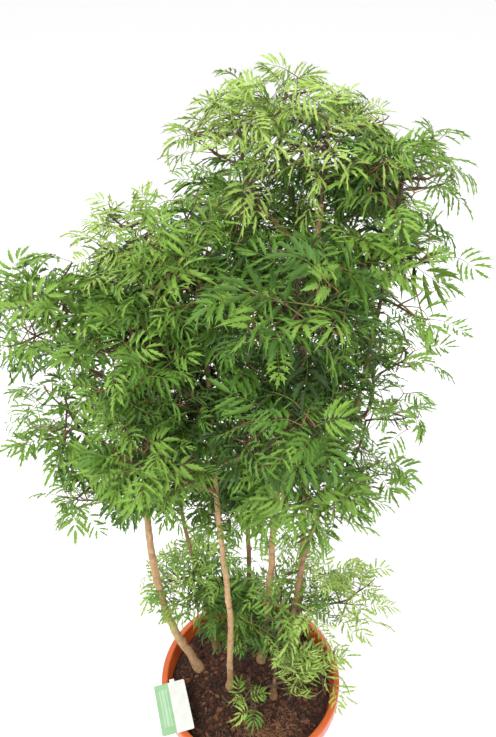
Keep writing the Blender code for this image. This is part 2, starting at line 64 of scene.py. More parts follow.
# The pot
# A round grower's pot, moulded in one piece from bright orange plastic. Its lip is turned out and down,
# its wall tapers to a foot ring, and the floor has drain holes. It stands free on its foot.
POT_ORANGE = (0.50, 0.086, 0.011)
POT_ORANGE_WORN = (0.54, 0.112, 0.018)
POT_STEPS = 144
WALL = 0.003
WALL_RINGS = (0.05, 0.12, 0.20)
FLOOR_THICK = 0.004
EDGE_ROUND = 0.001
NECK = 0.008
LIP_WIDE = 0.012
LIP_DEEP = 0.030
LIP_THICK = 0.004
LIP_CORNER = 0.006
LIP_SKIN = 0.0026
LIP_ROUND = 0.0034
FOOT_WIDE = 0.010
FOOT_HIGH = 0.0016
FOOT_ROUND = 0.002
DRAIN_HOLES = 8
DRAIN_SIDES = 24
DRAIN_ACROSS = 0.012
DRAIN_CIRCLE = 0.085
BASE_RADIUS = 0.118

pot_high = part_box("pot")[1]
rim_radius = pot_high.x
pot_tall = pot_high.z
wall_slope = (rim_radius - LIP_WIDE + WALL - BASE_RADIUS) / pot_tall


def wall_at(tall):
    """The outer radius of the pot's wall at a height."""
    return BASE_RADIUS + wall_slope * tall


def arc(across, tall, radius, first_deg, last_deg, count=5):
    """Points of a round corner in a turned profile."""
    angles = [math.radians(first_deg + (last_deg - first_deg) * k / (count - 1)) for k in range(count)]
    return [(across + radius * math.cos(a), tall + radius * math.sin(a)) for a in angles]


def turned(profile, steps):
    """A mesh turned about the Z axis from points of radius and height."""
    bm = bmesh.new()
    points = [bm.verts.new((radius, 0.0, tall)) for radius, tall in profile]
    edges = [bm.edges.new(pair) for pair in zip(points, points[1:])]
    bmesh.ops.spin(bm, geom=points + edges, axis=(0, 0, 1), cent=(0, 0, 0), angle=2 * math.pi, steps=steps,
                   use_merge=True)
    bmesh.ops.remove_doubles(bm, verts=bm.verts, dist=1e-6)
    return bm


def mesh_object(name, bm, smooth_deg=40):
    mesh = bpy.data.meshes.new(name)
    bm.to_mesh(mesh)
    bm.free()
    mesh.shade_smooth()
    mesh.set_sharp_from_angle(angle=math.radians(smooth_deg))
    return in_scene(name, mesh)


def in_scene(name, data):
    made = bpy.data.objects.new(name, data)
    bpy.context.scene.collection.objects.link(made)
    return made


def new_group(name, inputs, outputs):
    """A node group with named inputs, each with its usual value, and named outputs."""
    group = bpy.data.node_groups.new(name, "ShaderNodeTree")
    for label, kind, value in inputs:
        group.interface.new_socket(label, in_out="INPUT", socket_type=kind).default_value = value
    for label, kind in outputs:
        group.interface.new_socket(label, in_out="OUTPUT", socket_type=kind)
    return group, group.nodes.new("NodeGroupInput"), group.nodes.new("NodeGroupOutput")


def grain_group():
    """Noise stretched along Z, as a share from 0 to 1. Low and High say which part of the noise is kept."""
    group, given, out = new_group(
        "grain",
        [
            ("Scale", "NodeSocketFloat", 40.0),
            ("Along", "NodeSocketFloat", 1.0),
            ("Low", "NodeSocketFloat", 0.35),
            ("High", "NodeSocketFloat", 0.65),
        ],
        [("Share", "NodeSocketFloat")],
    )
    kinds = ("TexCoord", "CombineXYZ", "VectorMath", "TexNoise", "MapRange")
    place, stretch, scaled, cloud, spread = (group.nodes.new("ShaderNode" + kind) for kind in kinds)
    for axis in "XY":
        stretch.inputs[axis].default_value = 1.0
    scaled.operation = "MULTIPLY"
    cloud.inputs["Detail"].default_value = 4.0
    for start, output, end, given_to in (
        (given, "Along", stretch, "Z"),
        (place, "Object", scaled, 0),
        (stretch, "Vector", scaled, 1),
        (scaled, "Vector", cloud, "Vector"),
        (given, "Scale", cloud, "Scale"),
        (cloud, "Fac", spread, "Value"),
        (given, "Low", spread, "From Min"),
        (given, "High", spread, "From Max"),
        (spread, "Result", out, "Share"),
    ):
        group.links.new(start.outputs[output], end.inputs[given_to])
    return group


GRAIN = grain_group()


class Finish:
    """A material with one Principled shader. Its tones, roughness and relief follow grains, each given by
    its scale and, where they aren't the usual ones, its stretch and the part of the noise that is kept."""

    def __init__(self, name, roughness, specular=0.5, coat=0.0):
        self.material = bpy.data.materials.new(name)
        self.material.use_nodes = True
        self.nodes = self.material.node_tree.nodes
        self.links = self.material.node_tree.links
        self.shader = self.nodes["Principled BSDF"]
        self.shader.inputs["Roughness"].default_value = roughness
        self.shader.inputs["Specular IOR Level"].default_value = specular
        self.shader.inputs["Coat Weight"].default_value = coat
        self.relief = None

    def grain(self, *values):
        made = self.nodes.new("ShaderNodeGroup")
        made.node_tree = GRAIN
        for label, value in zip(("Scale", "Along", "Low", "High"), values):
            made.inputs[label].default_value = value
        return made.outputs["Share"]

    def mixed(self, first, second, *grain):
        """A colour between two, each a plain colour or a socket."""
        made = self.nodes.new("ShaderNodeMix")
        made.data_type = "RGBA"
        self.links.new(self.grain(*grain), made.inputs["Factor"])
        for label, colour in (("A", first), ("B", second)):
            socket = next(s for s in made.inputs if s.name == label and s.type == "RGBA")
            if isinstance(colour, tuple):
                socket.default_value = (*colour, 1.0)
            else:
                self.links.new(colour, socket)
        return next(s for s in made.outputs if s.type == "RGBA")

    def tones(self, first, second, *grain):
        self.links.new(self.mixed(first, second, *grain), self.shader.inputs["Base Color"])

    def rough(self, low, high, *grain):
        made = self.nodes.new("ShaderNodeMapRange")
        made.inputs["To Min"].default_value = low
        made.inputs["To Max"].default_value = high
        self.links.new(self.grain(*grain), made.inputs["Value"])
        self.links.new(made.outputs["Result"], self.shader.inputs["Roughness"])

    def bump(self, deep, *grain):
        """One more layer of relief, of that depth."""
        made = self.nodes.new("ShaderNodeBump")
        made.inputs["Distance"].default_value = deep
        self.links.new(self.grain(*grain), made.inputs["Height"])
        if self.relief:
            self.links.new(self.relief, made.inputs["Normal"])
        self.relief = made.outputs["Normal"]
        self.links.new(self.relief, self.shader.inputs["Normal"])


def wear(piece, finish, slot, *nodes):
    """Puts a finish on a piece, which rides on the plant's one body and stands for the nodes."""
    piece.data.materials.append(finish.material)
    place(piece, slot, *nodes)


def place(piece, slot, *nodes):
    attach(piece, "root")
    if nodes:
        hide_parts(*nodes)


def pot_profile():
    """From the underside out over the foot, up the wall, round the lip and down inside to the floor."""
    foot = BASE_RADIUS - FOOT_WIDE
    under = pot_tall - LIP_DEEP
    inside = rim_radius - LIP_SKIN
    lip_in = rim_radius - LIP_WIDE
    low_edge = under + EDGE_ROUND
    high_edge = pot_tall - LIP_ROUND
    under_lip = pot_tall - LIP_THICK
    profile = [(foot, FOOT_HIGH), (foot + EDGE_ROUND, 0.0)]
    profile += arc(BASE_RADIUS - FOOT_ROUND, FOOT_ROUND, FOOT_ROUND, -90, 0)
    profile += [(wall_at(tall), tall) for tall in (*WALL_RINGS, under, pot_tall - NECK)]
    profile += [(wall_at(pot_tall) + EDGE_ROUND, under_lip), (inside - EDGE_ROUND, under_lip)]
    profile += [(inside, pot_tall - LIP_CORNER), (inside, low_edge)]
    profile += arc(inside + EDGE_ROUND, low_edge, EDGE_ROUND, 180, 270, 3)
    profile += arc(rim_radius - EDGE_ROUND, low_edge, EDGE_ROUND, 270, 360, 3)
    profile += arc(rim_radius - LIP_ROUND, high_edge, LIP_ROUND, 0, 90, 7)
    profile += arc(lip_in + LIP_ROUND, high_edge, LIP_ROUND, 90, 180, 7)
    return profile + [(wall_at(tall) - WALL, tall) for tall in (under, *WALL_RINGS[::-1], FLOOR_THICK)]


def round_turn(radius, share, tall=0.0):
    """A point on a level ring about the Z axis, that share of a turn round."""
    angle = 2 * math.pi * share
    return Vector((radius * math.cos(angle), radius * math.sin(angle), tall))


def lay_floor(bm):
    """Fills the pot's floor from below and above, all but its drain holes, and walls the holes."""
    rims = [edge for edge in bm.edges if edge.is_boundary]
    rings = []
    for tall in (FOOT_HIGH, FLOOR_THICK):
        edges = [edge for edge in rims if abs(edge.verts[0].co.z - tall) < EDGE_ROUND]
        for k in range(DRAIN_HOLES):
            middle = round_turn(DRAIN_CIRCLE, (k + 0.5) / DRAIN_HOLES, tall)
            spots = [middle + round_turn(DRAIN_ACROSS / 2, j / DRAIN_SIDES) for j in range(DRAIN_SIDES)]
            ring = [bm.verts.new(spot) for spot in spots]
            edges += [bm.edges.new(pair) for pair in zip(ring, ring[1:] + ring[:1])]
            rings.append(ring)
        bmesh.ops.triangle_fill(bm, edges=edges, use_beauty=True)
    for low, high in zip(rings, rings[DRAIN_HOLES:]):
        for j in range(-1, DRAIN_SIDES - 1):
            bm.faces.new((low[j], low[j + 1], high[j + 1], high[j]))
    bmesh.ops.recalc_face_normals(bm, faces=bm.faces)
    return bm


pot_plastic = Finish("moulded_orange_plastic", 0.36, coat=0.12)
pot_plastic.tones(POT_ORANGE, POT_ORANGE_WORN, 26.0, 1.0, 0.48, 0.80)
pot_plastic.rough(0.30, 0.46, 70.0, 0.5)
pot_plastic.bump(0.0006, 9.0)
pot_plastic.bump(0.00008, 1400.0)
pot = mesh_object("pot_shell", lay_floor(turned(pot_profile(), POT_STEPS)))
wear(pot, pot_plastic, "pot_plastic", "pot")

# The compost
# Moist bark compost fills the pot to under its rim: a dark crumbly bed, covered by flat chips and
# splinters of pine bark, with a patch of paler fibre near the front.
BED_DARK = (0.024, 0.010, 0.006)
BED_BROWN = (0.062, 0.025, 0.012)
CHIP_BROWNS = {"dark": (0.034, 0.013, 0.007), "red": (0.078, 0.026, 0.011), "tan": (0.150, 0.060, 0.024)}
CHIP_SHARES = {"dark": 0.48, "red": 0.42, "tan": 0.10}
CHIPS = 4600
CHIP_LONG = (0.004, 0.017)
CHIP_THICKEST = 0.0034
CHIP_SMALLNESS = 2.4
CHIP_WIDTHS = (0.28, 0.75)
CHIP_THICKNESSES = (0.10, 0.24)
CHIP_CORNERS = 7
CHIP_CORNER_SHIFTS = (-0.25, 0.25)
CHIP_RAGGEDNESS = (0.72, 1.0)
CHIP_TOP_SHARE = 0.8
CHIP_UNEVENNESS = (0.6, 1.0)
CHIP_TILT = 0.38
CHIP_HEIGHTS = (-0.0005, 0.0035)
CHIPS_OFF_WALL = 0.006
TAN_IN_PATCH = 5
WALL_GAP = 0.001
BED_RINGS = 46
BED_SPOKES = 120
BED_OFF_WALL = 0.0008
BED_LUMPS = 0.0045
LUMP_SCALE = 42.0
SWELL_SCALE = 14.0
BED_FALL = 0.003
FIBRES = 520
FIBRE_BROWN = (0.33, 0.17, 0.08)
FIBRE_SHADED = (0.20, 0.09, 0.04)
FIBRE_RADII = (0.00055, 0.0003)
FIBRE_POINTS = 7
FIBRE_STEP = 0.0024
FIBRE_CURL = 0.45
FIBRE_LIFT = 0.0035
FIBRE_WAVE = 0.0015
FIBRE_OFF_WALL = 0.02
FIBRE_PATCH = (0.030, -0.108)
FIBRE_PATCH_WIDE = 0.038

compost_low, compost_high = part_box("compost")
bed_tall = compost_high.z
bed_radius = compost_high.x


def bed_height(x, y):
    """The height of the crumbly top of the compost. It falls a little towards the wall."""
    lumps = noise.fractal(Vector((x, y, 0.0)) * LUMP_SCALE, 1.0, 2.0, 4)
    swell = noise.noise(Vector((x, y, 3.0)) * SWELL_SCALE)
    edge = max(0.0, math.hypot(x, y) / bed_radius - 0.8) * 5
    return bed_tall + BED_LUMPS * (0.55 * lumps + 0.5 * swell) - BED_FALL * edge


def compost_bed():
    """The bed is one closed mesh: a lumpy top, a side along the wall and a flat underside."""
    bm = bmesh.new()
    middle = bm.verts.new((0.0, 0.0, bed_height(0.0, 0.0)))
    rings = []
    spokes = np.linspace(0, 2 * math.pi, BED_SPOKES, endpoint=False)
    for k in range(1, BED_RINGS + 1):
        radius = bed_radius * k / BED_RINGS
        around = [(radius * math.cos(a), radius * math.sin(a)) for a in spokes]
        rings.append([bm.verts.new((x, y, bed_height(x, y))) for x, y in around])
    lowest = wall_at(compost_low.z) - WALL - BED_OFF_WALL
    share = lowest / bed_radius
    rings.append([bm.verts.new((v.co.x * share, v.co.y * share, compost_low.z)) for v in rings[-1]])
    for j in range(BED_SPOKES):
        bm.faces.new((middle, rings[0][j], rings[0][(j + 1) % BED_SPOKES]))
    for inner, outer in zip(rings, rings[1:]):
        for j in range(BED_SPOKES):
            k = (j + 1) % BED_SPOKES
            bm.faces.new((inner[j], outer[j], outer[k], inner[k]))
    bm.faces.new(rings[-1])
    bmesh.ops.recalc_face_normals(bm, faces=bm.faces)
    return mesh_object("compost_bed", bm, 60)


def chip(draw, size):
    """One flat splinter of bark, with a ragged outline, about its own middle."""
    long = size
    wide = size * draw.uniform(*CHIP_WIDTHS)
    thick = min(size * draw.uniform(*CHIP_THICKNESSES), CHIP_THICKEST)
    corners = []
    for level in (-1, 1):
        for k in range(CHIP_CORNERS):
            angle = 2 * math.pi * (k + draw.uniform(*CHIP_CORNER_SHIFTS)) / CHIP_CORNERS
            ragged = draw.uniform(*CHIP_RAGGEDNESS) * (CHIP_TOP_SHARE if level > 0 else 1.0)
            corners.append((math.cos(angle) * ragged * long / 2, math.sin(angle) * ragged * wide / 2,
                            level * thick / 2 * draw.uniform(*CHIP_UNEVENNESS)))
    n = CHIP_CORNERS
    faces = [(k, (k + 1) % n, n + (k + 1) % n) for k in range(n)]
    faces += [(k, n + (k + 1) % n, n + k) for k in range(n)]
    faces += [(n, n + k, n + k + 1) for k in range(1, n - 1)] + [(0, k + 1, k) for k in range(1, n - 1)]
    return np.array(corners), np.array(faces)


class Heap:
    """Corners and triangles of many small shapes, gathered to make one piece."""

    def __init__(self):
        self.corners = []
        self.faces = []
        self.worn = []
        self.count = 0

    def add(self, corners, faces, worn=0):
        self.corners.append(corners)
        self.faces.append(faces + self.count)
        self.worn.append(np.broadcast_to(worn, len(faces)))
        self.count += len(corners)

    def piece(self, name, finishes, smooth=True):
        """The whole heap as one object. The finishes are those that the shapes' numbers mean."""
        corners = np.concatenate(self.corners).astype(np.float32)
        faces = np.concatenate(self.faces).astype(np.int32)
        mesh = bpy.data.meshes.new(name)
        mesh.vertices.add(len(corners))
        mesh.vertices.foreach_set("co", corners.ravel())
        mesh.loops.add(len(faces) * 3)
        mesh.loops.foreach_set("vertex_index", faces.ravel())
        mesh.polygons.add(len(faces))
        mesh.polygons.foreach_set("loop_start", np.arange(0, len(faces) * 3, 3, dtype=np.int32))
        mesh.polygons.foreach_set("material_index", np.concatenate(self.worn).astype(np.int32))
        mesh.polygons.foreach_set("use_smooth", np.full(len(faces), smooth))
        for finish in finishes:
            mesh.materials.append(finish.material)
        mesh.update(calc_edges=True)
        mesh.validate()
        return in_scene(name, mesh)


def lay_chips():
    """The chips lie on the bed at all angles but mostly flat, the small ones between the large."""
    draw = random.Random("bark chips")
    heaps = {shade: Heap() for shade in CHIP_BROWNS}
    for _ in range(CHIPS):
        size = CHIP_LONG[0] + (CHIP_LONG[1] - CHIP_LONG[0]) * draw.random() ** CHIP_SMALLNESS
        corners, faces = chip(draw, size)
        tilt = Matrix.Rotation(draw.gauss(0, CHIP_TILT), 3, "X")
        tilt = tilt @ Matrix.Rotation(draw.gauss(0, CHIP_TILT), 3, "Y")
        turn = Matrix.Rotation(draw.uniform(0, 2 * math.pi), 3, "Z") @ tilt
        radius = (bed_radius - CHIPS_OFF_WALL) * math.sqrt(draw.random())
        angle = draw.uniform(0, 2 * math.pi)
        x, y = radius * math.cos(angle), radius * math.sin(angle)
        spot = Vector((x, y, bed_height(x, y)))
        furthest = bed_radius - WALL_GAP - size / 2
        if radius > furthest:
            spot.xy *= furthest / radius
        spot.z += draw.uniform(*CHIP_HEIGHTS)
        odds = dict(CHIP_SHARES)
        patch = math.hypot(spot.x - FIBRE_PATCH[0], spot.y - FIBRE_PATCH[1]) / FIBRE_PATCH_WIDE
        odds["tan"] *= 1 + TAN_IN_PATCH * math.exp(-patch)
        shade = draw.choices(list(odds), list(odds.values()))[0]
        heaps[shade].add(corners @ np.array(turn).T + np.array(spot), faces)
    return heaps


def fibre(draw):
    """One thin curled fibre that lies on the chips."""
    away = Vector((draw.gauss(0, 1), draw.gauss(0, 0.6), 0.0)) * FIBRE_PATCH_WIDE
    x, y = FIBRE_PATCH[0] + away.x, FIBRE_PATCH[1] + away.y
    if math.hypot(x, y) > bed_radius - FIBRE_OFF_WALL:
        return None
    heading = draw.uniform(0, 2 * math.pi)
    points = []
    for k in range(FIBRE_POINTS):
        points.append((x, y, bed_height(x, y) + FIBRE_LIFT + FIBRE_WAVE * math.sin(k + heading)))
        heading += draw.gauss(0, FIBRE_CURL)
        x += math.cos(heading) * FIBRE_STEP
        y += math.sin(heading) * FIBRE_STEP
    return np.array(points)


def out_from(path, sides, across):
    """The directions from each point of a path to the corners of a ring round it."""
    along = unit(np.gradient(path, axis=0))
    side = np.cross(along[0], across)
    angles = np.arange(sides) * 2 * math.pi / sides
    out = []
    for grain in along:
        side = unit(side - grain * (side @ grain))
        out.append(np.outer(np.cos(angles), side) + np.outer(np.sin(angles), np.cross(grain, side)))
    return np.array(out)


def rod(path, radii, sides):
    """A tapered round bar along a path: its corners and its triangles."""
    start = unit(path[1] - path[0])
    out = out_from(path, sides, (0.0, 0.0, 1.0) if abs(start[2]) < 0.9 else (1.0, 0.0, 0.0))
    corners = path[:, None] + out * radii[:, None, None]
    return corners.reshape(-1, 3), rod_faces(len(path), sides)


def rod_faces(rings, sides):
    """The triangles of a closed bar of rings, with its two ends."""
    faces = []
    for k in range(rings - 1):
        for j in range(sides):
            a, b = k * sides + j, k * sides + (j + 1) % sides
            faces += [(a, b, b + sides), (a, b + sides, a + sides)]
    last = (rings - 1) * sides
    for j in range(1, sides - 1):
        faces += [(0, j + 1, j), (last, last + j, last + j + 1)]
    return np.array(faces)


def unit(arrows):
    return arrows / np.maximum(np.linalg.norm(arrows, axis=-1, keepdims=True), 1e-9)


bed_finish = Finish("crumbly_compost", 0.92)
bed_finish.tones(BED_DARK, BED_BROWN, 90.0)
bed_finish.bump(0.004, 160.0)
wear(compost_bed(), bed_finish, "bark_compost", "compost")
for shade, heap in lay_chips().items():
    brown = CHIP_BROWNS[shade]
    pale = tuple(min(1.0, 1.6 * level) for level in brown)
    chip_finish = Finish("bark_chips_" + shade, 0.85)
    chip_finish.tones(brown, pale, 260.0, 0.35, 0.38, 0.72)
    chip_finish.rough(0.7, 0.95, 120.0)
    chip_finish.bump(0.0008, 700.0, 0.5)
    place(heap.piece("bark_chips_" + shade, [chip_finish], smooth=False), "bark_compost")
fibre_finish = Finish("pale_bark_fibre", 0.8)
fibre_finish.tones(FIBRE_BROWN, FIBRE_SHADED, 200.0)
fibre_draw = random.Random("fibres")
fibres = Heap()
for _ in range(FIBRES):
    strand = fibre(fibre_draw)
    if strand is not None:
        fibres.add(*rod(strand, np.linspace(*FIBRE_RADII, len(strand)), 3))
place(fibres.piece("bark_fibres", [fibre_finish]), "bark_compost")

# The label
# A thin coated card that lies across the rim at the front left. Half of it is pale green with faint
# lighter stripes and half is white, and its white tongue is bent down inside the pot's wall.
CARD_GREEN = (0.30, 0.52, 0.285)
CARD_STRIPE = (0.44, 0.62, 0.42)
CARD_WHITE = (0.74, 0.75, 0.71)
CARD_WIDE = 0.058
CARD_LONG = 0.098
CARD_THICK = 0.0008
CARD_ROUND = 0.003
CARD_CENTRE = (-0.142, -0.067)
CARD_TURN_DEG = 15.5
CARD_BOW = 0.0012
GREEN_SHARE = 0.46
STRIPES = ((-0.0205, 0.0024), (-0.0145, 0.0042), (-0.0085, 0.0016))
STRIPE_LONG = 0.36
TONGUE_WIDE = 0.009
TONGUE_ASIDE = 0.006
TONGUE_LONG = 0.005
TONGUE_BEND = 0.0006
TONGUE_DROP = 0.024
TONGUE_INWARD = 0.006
TONGUE_LAP = 0.001
TONGUE_RINGS = (0.3, 0.65, 1.0)
CARD_OFF_RIM = 0.0003
CARD_GRID = (48, 60)
GREEN, STRIPE, WHITE = range(3)


def card_skin():
    """The card's upper skin as a grid of corners, along by across: bowed along its length, and narrower
    at its two ends, where its corners are rounded."""
    across, along = CARD_GRID
    y = -CARD_LONG / 2 * np.cos(math.pi * np.arange(along + 1) / along)
    in_corner = np.maximum(0.0, CARD_ROUND - (CARD_LONG / 2 - np.abs(y)))
    half = CARD_WIDE / 2 - CARD_ROUND + np.sqrt(np.maximum(0.0, CARD_ROUND**2 - in_corner**2))
    bow = CARD_BOW * (1 - (2 * y / CARD_LONG) ** 2)
    x = half[:, None] * np.linspace(-1, 1, across + 1)
    return np.stack(np.broadcast_arrays(x, y[:, None], bow[:, None] + CARD_THICK), axis=2)


def card_sheet():
    """The card: two skins joined by a rim, and its tongue. Each strip of the upper skin is dealt its
    colour by its place across the card."""
    top = card_skin()
    under = top - (0.0, 0.0, CARD_THICK)
    places = np.arange(top.shape[0] * top.shape[1]).reshape(top.shape[:2])
    a, b, c, d = places[:-1, :-1], places[:-1, 1:], places[1:, 1:], places[1:, :-1]
    faces = np.stack([a, b, c, a, c, d], axis=2).reshape(-1, 3)
    middles = top[:-1, :-1, 0] + CARD_WIDE / CARD_GRID[0] / 2
    heap = Heap()
    heap.add(top.reshape(-1, 3), faces, np.repeat(card_colours(middles, top[:-1, :-1, 1]), 2))
    plain = np.where(middles[0] > split_at, WHITE, GREEN)
    heap.add(under.reshape(-1, 3), faces[:, ::-1], np.tile(np.repeat(plain, 2), CARD_GRID[1]))
    edge = np.concatenate([places[0], places[1:, -1], places[-1, -2::-1], places[-2:0:-1, 0]])
    n = len(edge)
    rim = [(k, n + k, n + (k + 1) % n) for k in range(n)]
    rim += [(k, n + (k + 1) % n, (k + 1) % n) for k in range(n)]
    heap.add(np.concatenate([top.reshape(-1, 3)[edge], under.reshape(-1, 3)[edge]]), np.array(rim), WHITE)
    heap.add(*card_tongue(), WHITE)
    return heap


split_at = -CARD_WIDE / 2 + CARD_WIDE * GREEN_SHARE


def card_colours(x, y):
    """The colours of the card's face at places on it: white, and green with stripes."""
    on_stripe = np.any([abs(x - middle) < wide / 2 for middle, wide in STRIPES], axis=0)
    greens = np.where(on_stripe & (abs(y) < STRIPE_LONG * CARD_LONG), STRIPE, GREEN)
    return np.where(x > split_at, WHITE, greens)


def card_tongue():
    """The tongue runs on from the card's far end and bends down, as a strip of the same thickness."""
    end = CARD_LONG / 2
    bend = end + TONGUE_LONG
    line = [(0.0, end - TONGUE_LAP, 0.0), (0.0, end + TONGUE_LONG * 0.6, 0.0)]
    line += [(0.0, bend + TONGUE_BEND * math.sin(a), -TONGUE_BEND * (1 - math.cos(a)))
             for a in np.linspace(0.2, math.pi / 2, 4)]
    line += [(TONGUE_INWARD * s, bend + TONGUE_BEND, -TONGUE_BEND - TONGUE_DROP * s) for s in TONGUE_RINGS]
    line = np.array(line)
    along = unit(np.gradient(line[:, 1:], axis=0))
    out = np.stack([np.zeros(len(line)), -along[:, 1], along[:, 0]], axis=1) * CARD_THICK
    half = np.where(np.arange(len(line)) == len(line) - 1, 0.3, 0.5) * TONGUE_WIDE
    side = np.stack([half, np.zeros(len(line)), np.zeros(len(line))], axis=1)
    aside = np.array((TONGUE_ASIDE, 0.0, 0.0))
    rings = np.stack([line - side, line + side, line + side + out, line - side + out], axis=1) + aside
    return rings.reshape(-1, 3), rod_faces(len(line), 4)


card_finishes = []
for name, colour in (("card_green", CARD_GREEN), ("card_stripe", CARD_STRIPE), ("card_white", CARD_WHITE)):
    shaded = tuple(0.9 * level for level in colour)
    card_finish = Finish(name, 0.34, coat=0.3)
    card_finish.tones(shaded, colour, 60.0)
    card_finish.rough(0.28, 0.42, 300.0)
    card_finish.bump(0.00005, 1800.0)
    card_finishes.append(card_finish)
card = card_sheet().piece("label_card", card_finishes, smooth=False)
card_turn = Matrix.Rotation(math.radians(CARD_TURN_DEG), 4, "Z")
card.data.transform(Matrix.Translation((*CARD_CENTRE, pot_tall + CARD_OFF_RIM)) @ card_turn)
place(card, "label_card", "label")

# The stems and boughs
# Slender woody stems stand in the compost and carry the boughs. Their bark is thin and tan, with ring
# scars where old leaves grew, raised pores and small knots. The thinner stems are redder.
BARK_TAN = ((0.42, 0.245, 0.110), (0.60, 0.405, 0.215), (0.21, 0.105, 0.046))
BARK_RED = ((0.22, 0.110, 0.050), (0.36, 0.21, 0.100), (0.09, 0.045, 0.025))
TAN_STEMS = ("stem_left", "stem_front", "stem_centre", "stem_right")
STEM_SIDES = 7
BOUGH_SIDES = 6
BARK_STEP = 0.0026
BARK_SIDES = 20
INTO_COMPOST = 0.012
FOOT_SWELL = 1.08
FULL_RELIEF_RADIUS = 0.005
SCAR_GAP = (0.016, 0.036)
SCAR_HIGH = 0.0009
SCAR_WIDE = 0.0018
SCAR_SLANT = 0.0015
KNOT_GAP = (0.05, 0.12)
KNOT_HIGH = 0.0022
KNOT_WIDE = 0.0045
KNOT_RADIUS = 0.007
CROOK = 0.0016
CROOK_LONG = 0.045
CROOK_ENDS = 0.03
CROOK_LAYERS = (0.0, 20.0, 40.0)
PORE_GAP = 0.0045
PORE_HIGH = 0.00042
PORE_WIDE = 0.0012
BARK_ROUGH = 0.00045
FINE_BARK = 260.0
COARSE_BARK = (70.0, 70.0, 24.0)
COARSE_SHARE = 1.2


def limb_line(node, sides):
    """The middle and the radius of each ring of a packed limb, read from its solid, thick end first."""
    corners = np.unique(np.array([tuple(v.co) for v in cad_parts[node].data.vertices]), axis=0)
    grain = np.linalg.svd(corners - corners.mean(axis=0))[2][0]
    rings = corners[np.argsort(corners @ grain)].reshape(-1, sides, 3)
    middles = rings.mean(axis=1)
    radii = np.linalg.norm(rings - middles[:, None], axis=2).mean(axis=1)
    if radii[0] < radii[-1]:
        return middles[::-1], radii[::-1]
    return middles, radii


def smoothed(points, radii, step):
    """A smooth line through the points, with a point every step, and its radii."""
    far = np.concatenate([[0.0], np.cumsum(np.linalg.norm(np.diff(points, axis=0), axis=1))])
    slopes = np.gradient(points, far, axis=0)
    at = np.linspace(0, far[-1], max(4, int(far[-1] / step)))
    k = np.clip(np.searchsorted(far, at, side="right") - 1, 0, len(far) - 2)
    wide = (far[k + 1] - far[k])[:, None]
    t = ((at - far[k]) / wide[:, 0])[:, None]
    line = ((2 * t**3 - 3 * t**2 + 1) * points[k] + (t**3 - 2 * t**2 + t) * wide * slopes[k]
            + (3 * t**2 - 2 * t**3) * points[k + 1] + (t**3 - t**2) * wide * slopes[k + 1])
    return line, np.interp(at, far, radii), at


def spaced(gap, far, draw):
    """Places along a limb, each a random gap on from the last, and the way that each faces."""
    place_on_limb = draw.uniform(*gap)
    while place_on_limb < far:
        yield place_on_limb, draw.uniform(0, 2 * math.pi)
        place_on_limb += draw.uniform(*gap)


def bark_relief(at, radii, corners, draw):
    """How far each corner of a limb stands out, from its rough bark, ring scars, knots and pores."""
    angles = np.arange(BARK_SIDES) * 2 * math.pi / BARK_SIDES

    def turned_from(facing):
        return np.mod(angles - facing + math.pi, 2 * math.pi) - math.pi

    rough = [noise.noise(Vector(spot) * FINE_BARK) + COARSE_SHARE * noise.noise(Vector(spot * COARSE_BARK))
             for spot in corners.reshape(-1, 3)]
    relief = BARK_ROUGH * np.array(rough).reshape(len(at), BARK_SIDES)
    for scar, facing in spaced(SCAR_GAP, at[-1], draw):
        slant = SCAR_SLANT * np.cos(angles - facing)
        band = np.exp(-(((at[:, None] - scar - slant) / SCAR_WIDE) ** 2))
        relief += SCAR_HIGH * band * (0.35 + 0.65 * np.cos((angles - facing) / 2) ** 2)
    for knot, facing in spaced(KNOT_GAP, at[-1], draw):
        around = turned_from(facing) * KNOT_RADIUS
        relief += KNOT_HIGH * np.exp(-((at[:, None] - knot) ** 2 + around**2) / KNOT_WIDE**2)
    for _ in range(int(at[-1] / PORE_GAP)):
        high, facing = draw.uniform(0, at[-1]), draw.uniform(0, 2 * math.pi)
        near = np.abs(at - high) < 4 * PORE_WIDE
        around = turned_from(facing) * radii[near][:, None]
        away = (at[near][:, None] - high) ** 2 / PORE_WIDE**2 + around**2 / (1.6 * PORE_WIDE) ** 2
        relief[near] += PORE_HIGH * np.exp(-away)
    return relief * np.minimum(1.0, radii / FULL_RELIEF_RADIUS)[:, None]


def crooked(name, line, radii, at):
    """The limb's middle with the small bends that it has from node to node. Its two ends stay."""
    own_noise = random.Random(name).uniform(0, 50)
    sway = np.array([[noise.noise(Vector((own_noise, s / CROOK_LONG, layer))) for layer in CROOK_LAYERS]
                     for s in at])
    ends = np.minimum(1.0, np.minimum(at, at[-1] - at) / CROOK_ENDS)
    return line + sway * (CROOK * ends * np.minimum(1.5, radii / FULL_RELIEF_RADIUS))[:, None]


def bark_limb(name, line, radii, at):
    """A limb's bark as one closed mesh."""
    out = out_from(line, BARK_SIDES, (0.0, 1.0, 0.0))
    skin = line[:, None] + out * radii[:, None, None]
    relief = bark_relief(at, radii, skin, random.Random(name + " bark"))
    heap = Heap()
    heap.add((skin + out * relief[..., None]).reshape(-1, 3), rod_faces(len(line), BARK_SIDES))
    return heap


def bark_finish(name, browns):
    """Bark with long streaks, dark specks and pale worn patches."""
    plain, pale, dark = browns
    made = Finish(name, 0.8)
    streaked = made.mixed(plain, pale, 160.0, 0.22, 0.30, 0.72)
    speckled = made.mixed(streaked, dark, 420.0, 1.3, 0.60, 0.74)
    made.tones(speckled, dark, 46.0, 2.2, 0.54, 0.82)
    made.rough(0.62, 0.9, 300.0)
    made.bump(0.0007, 700.0, 0.5)
    made.bump(0.0006, 240.0, 2.4)
    return made


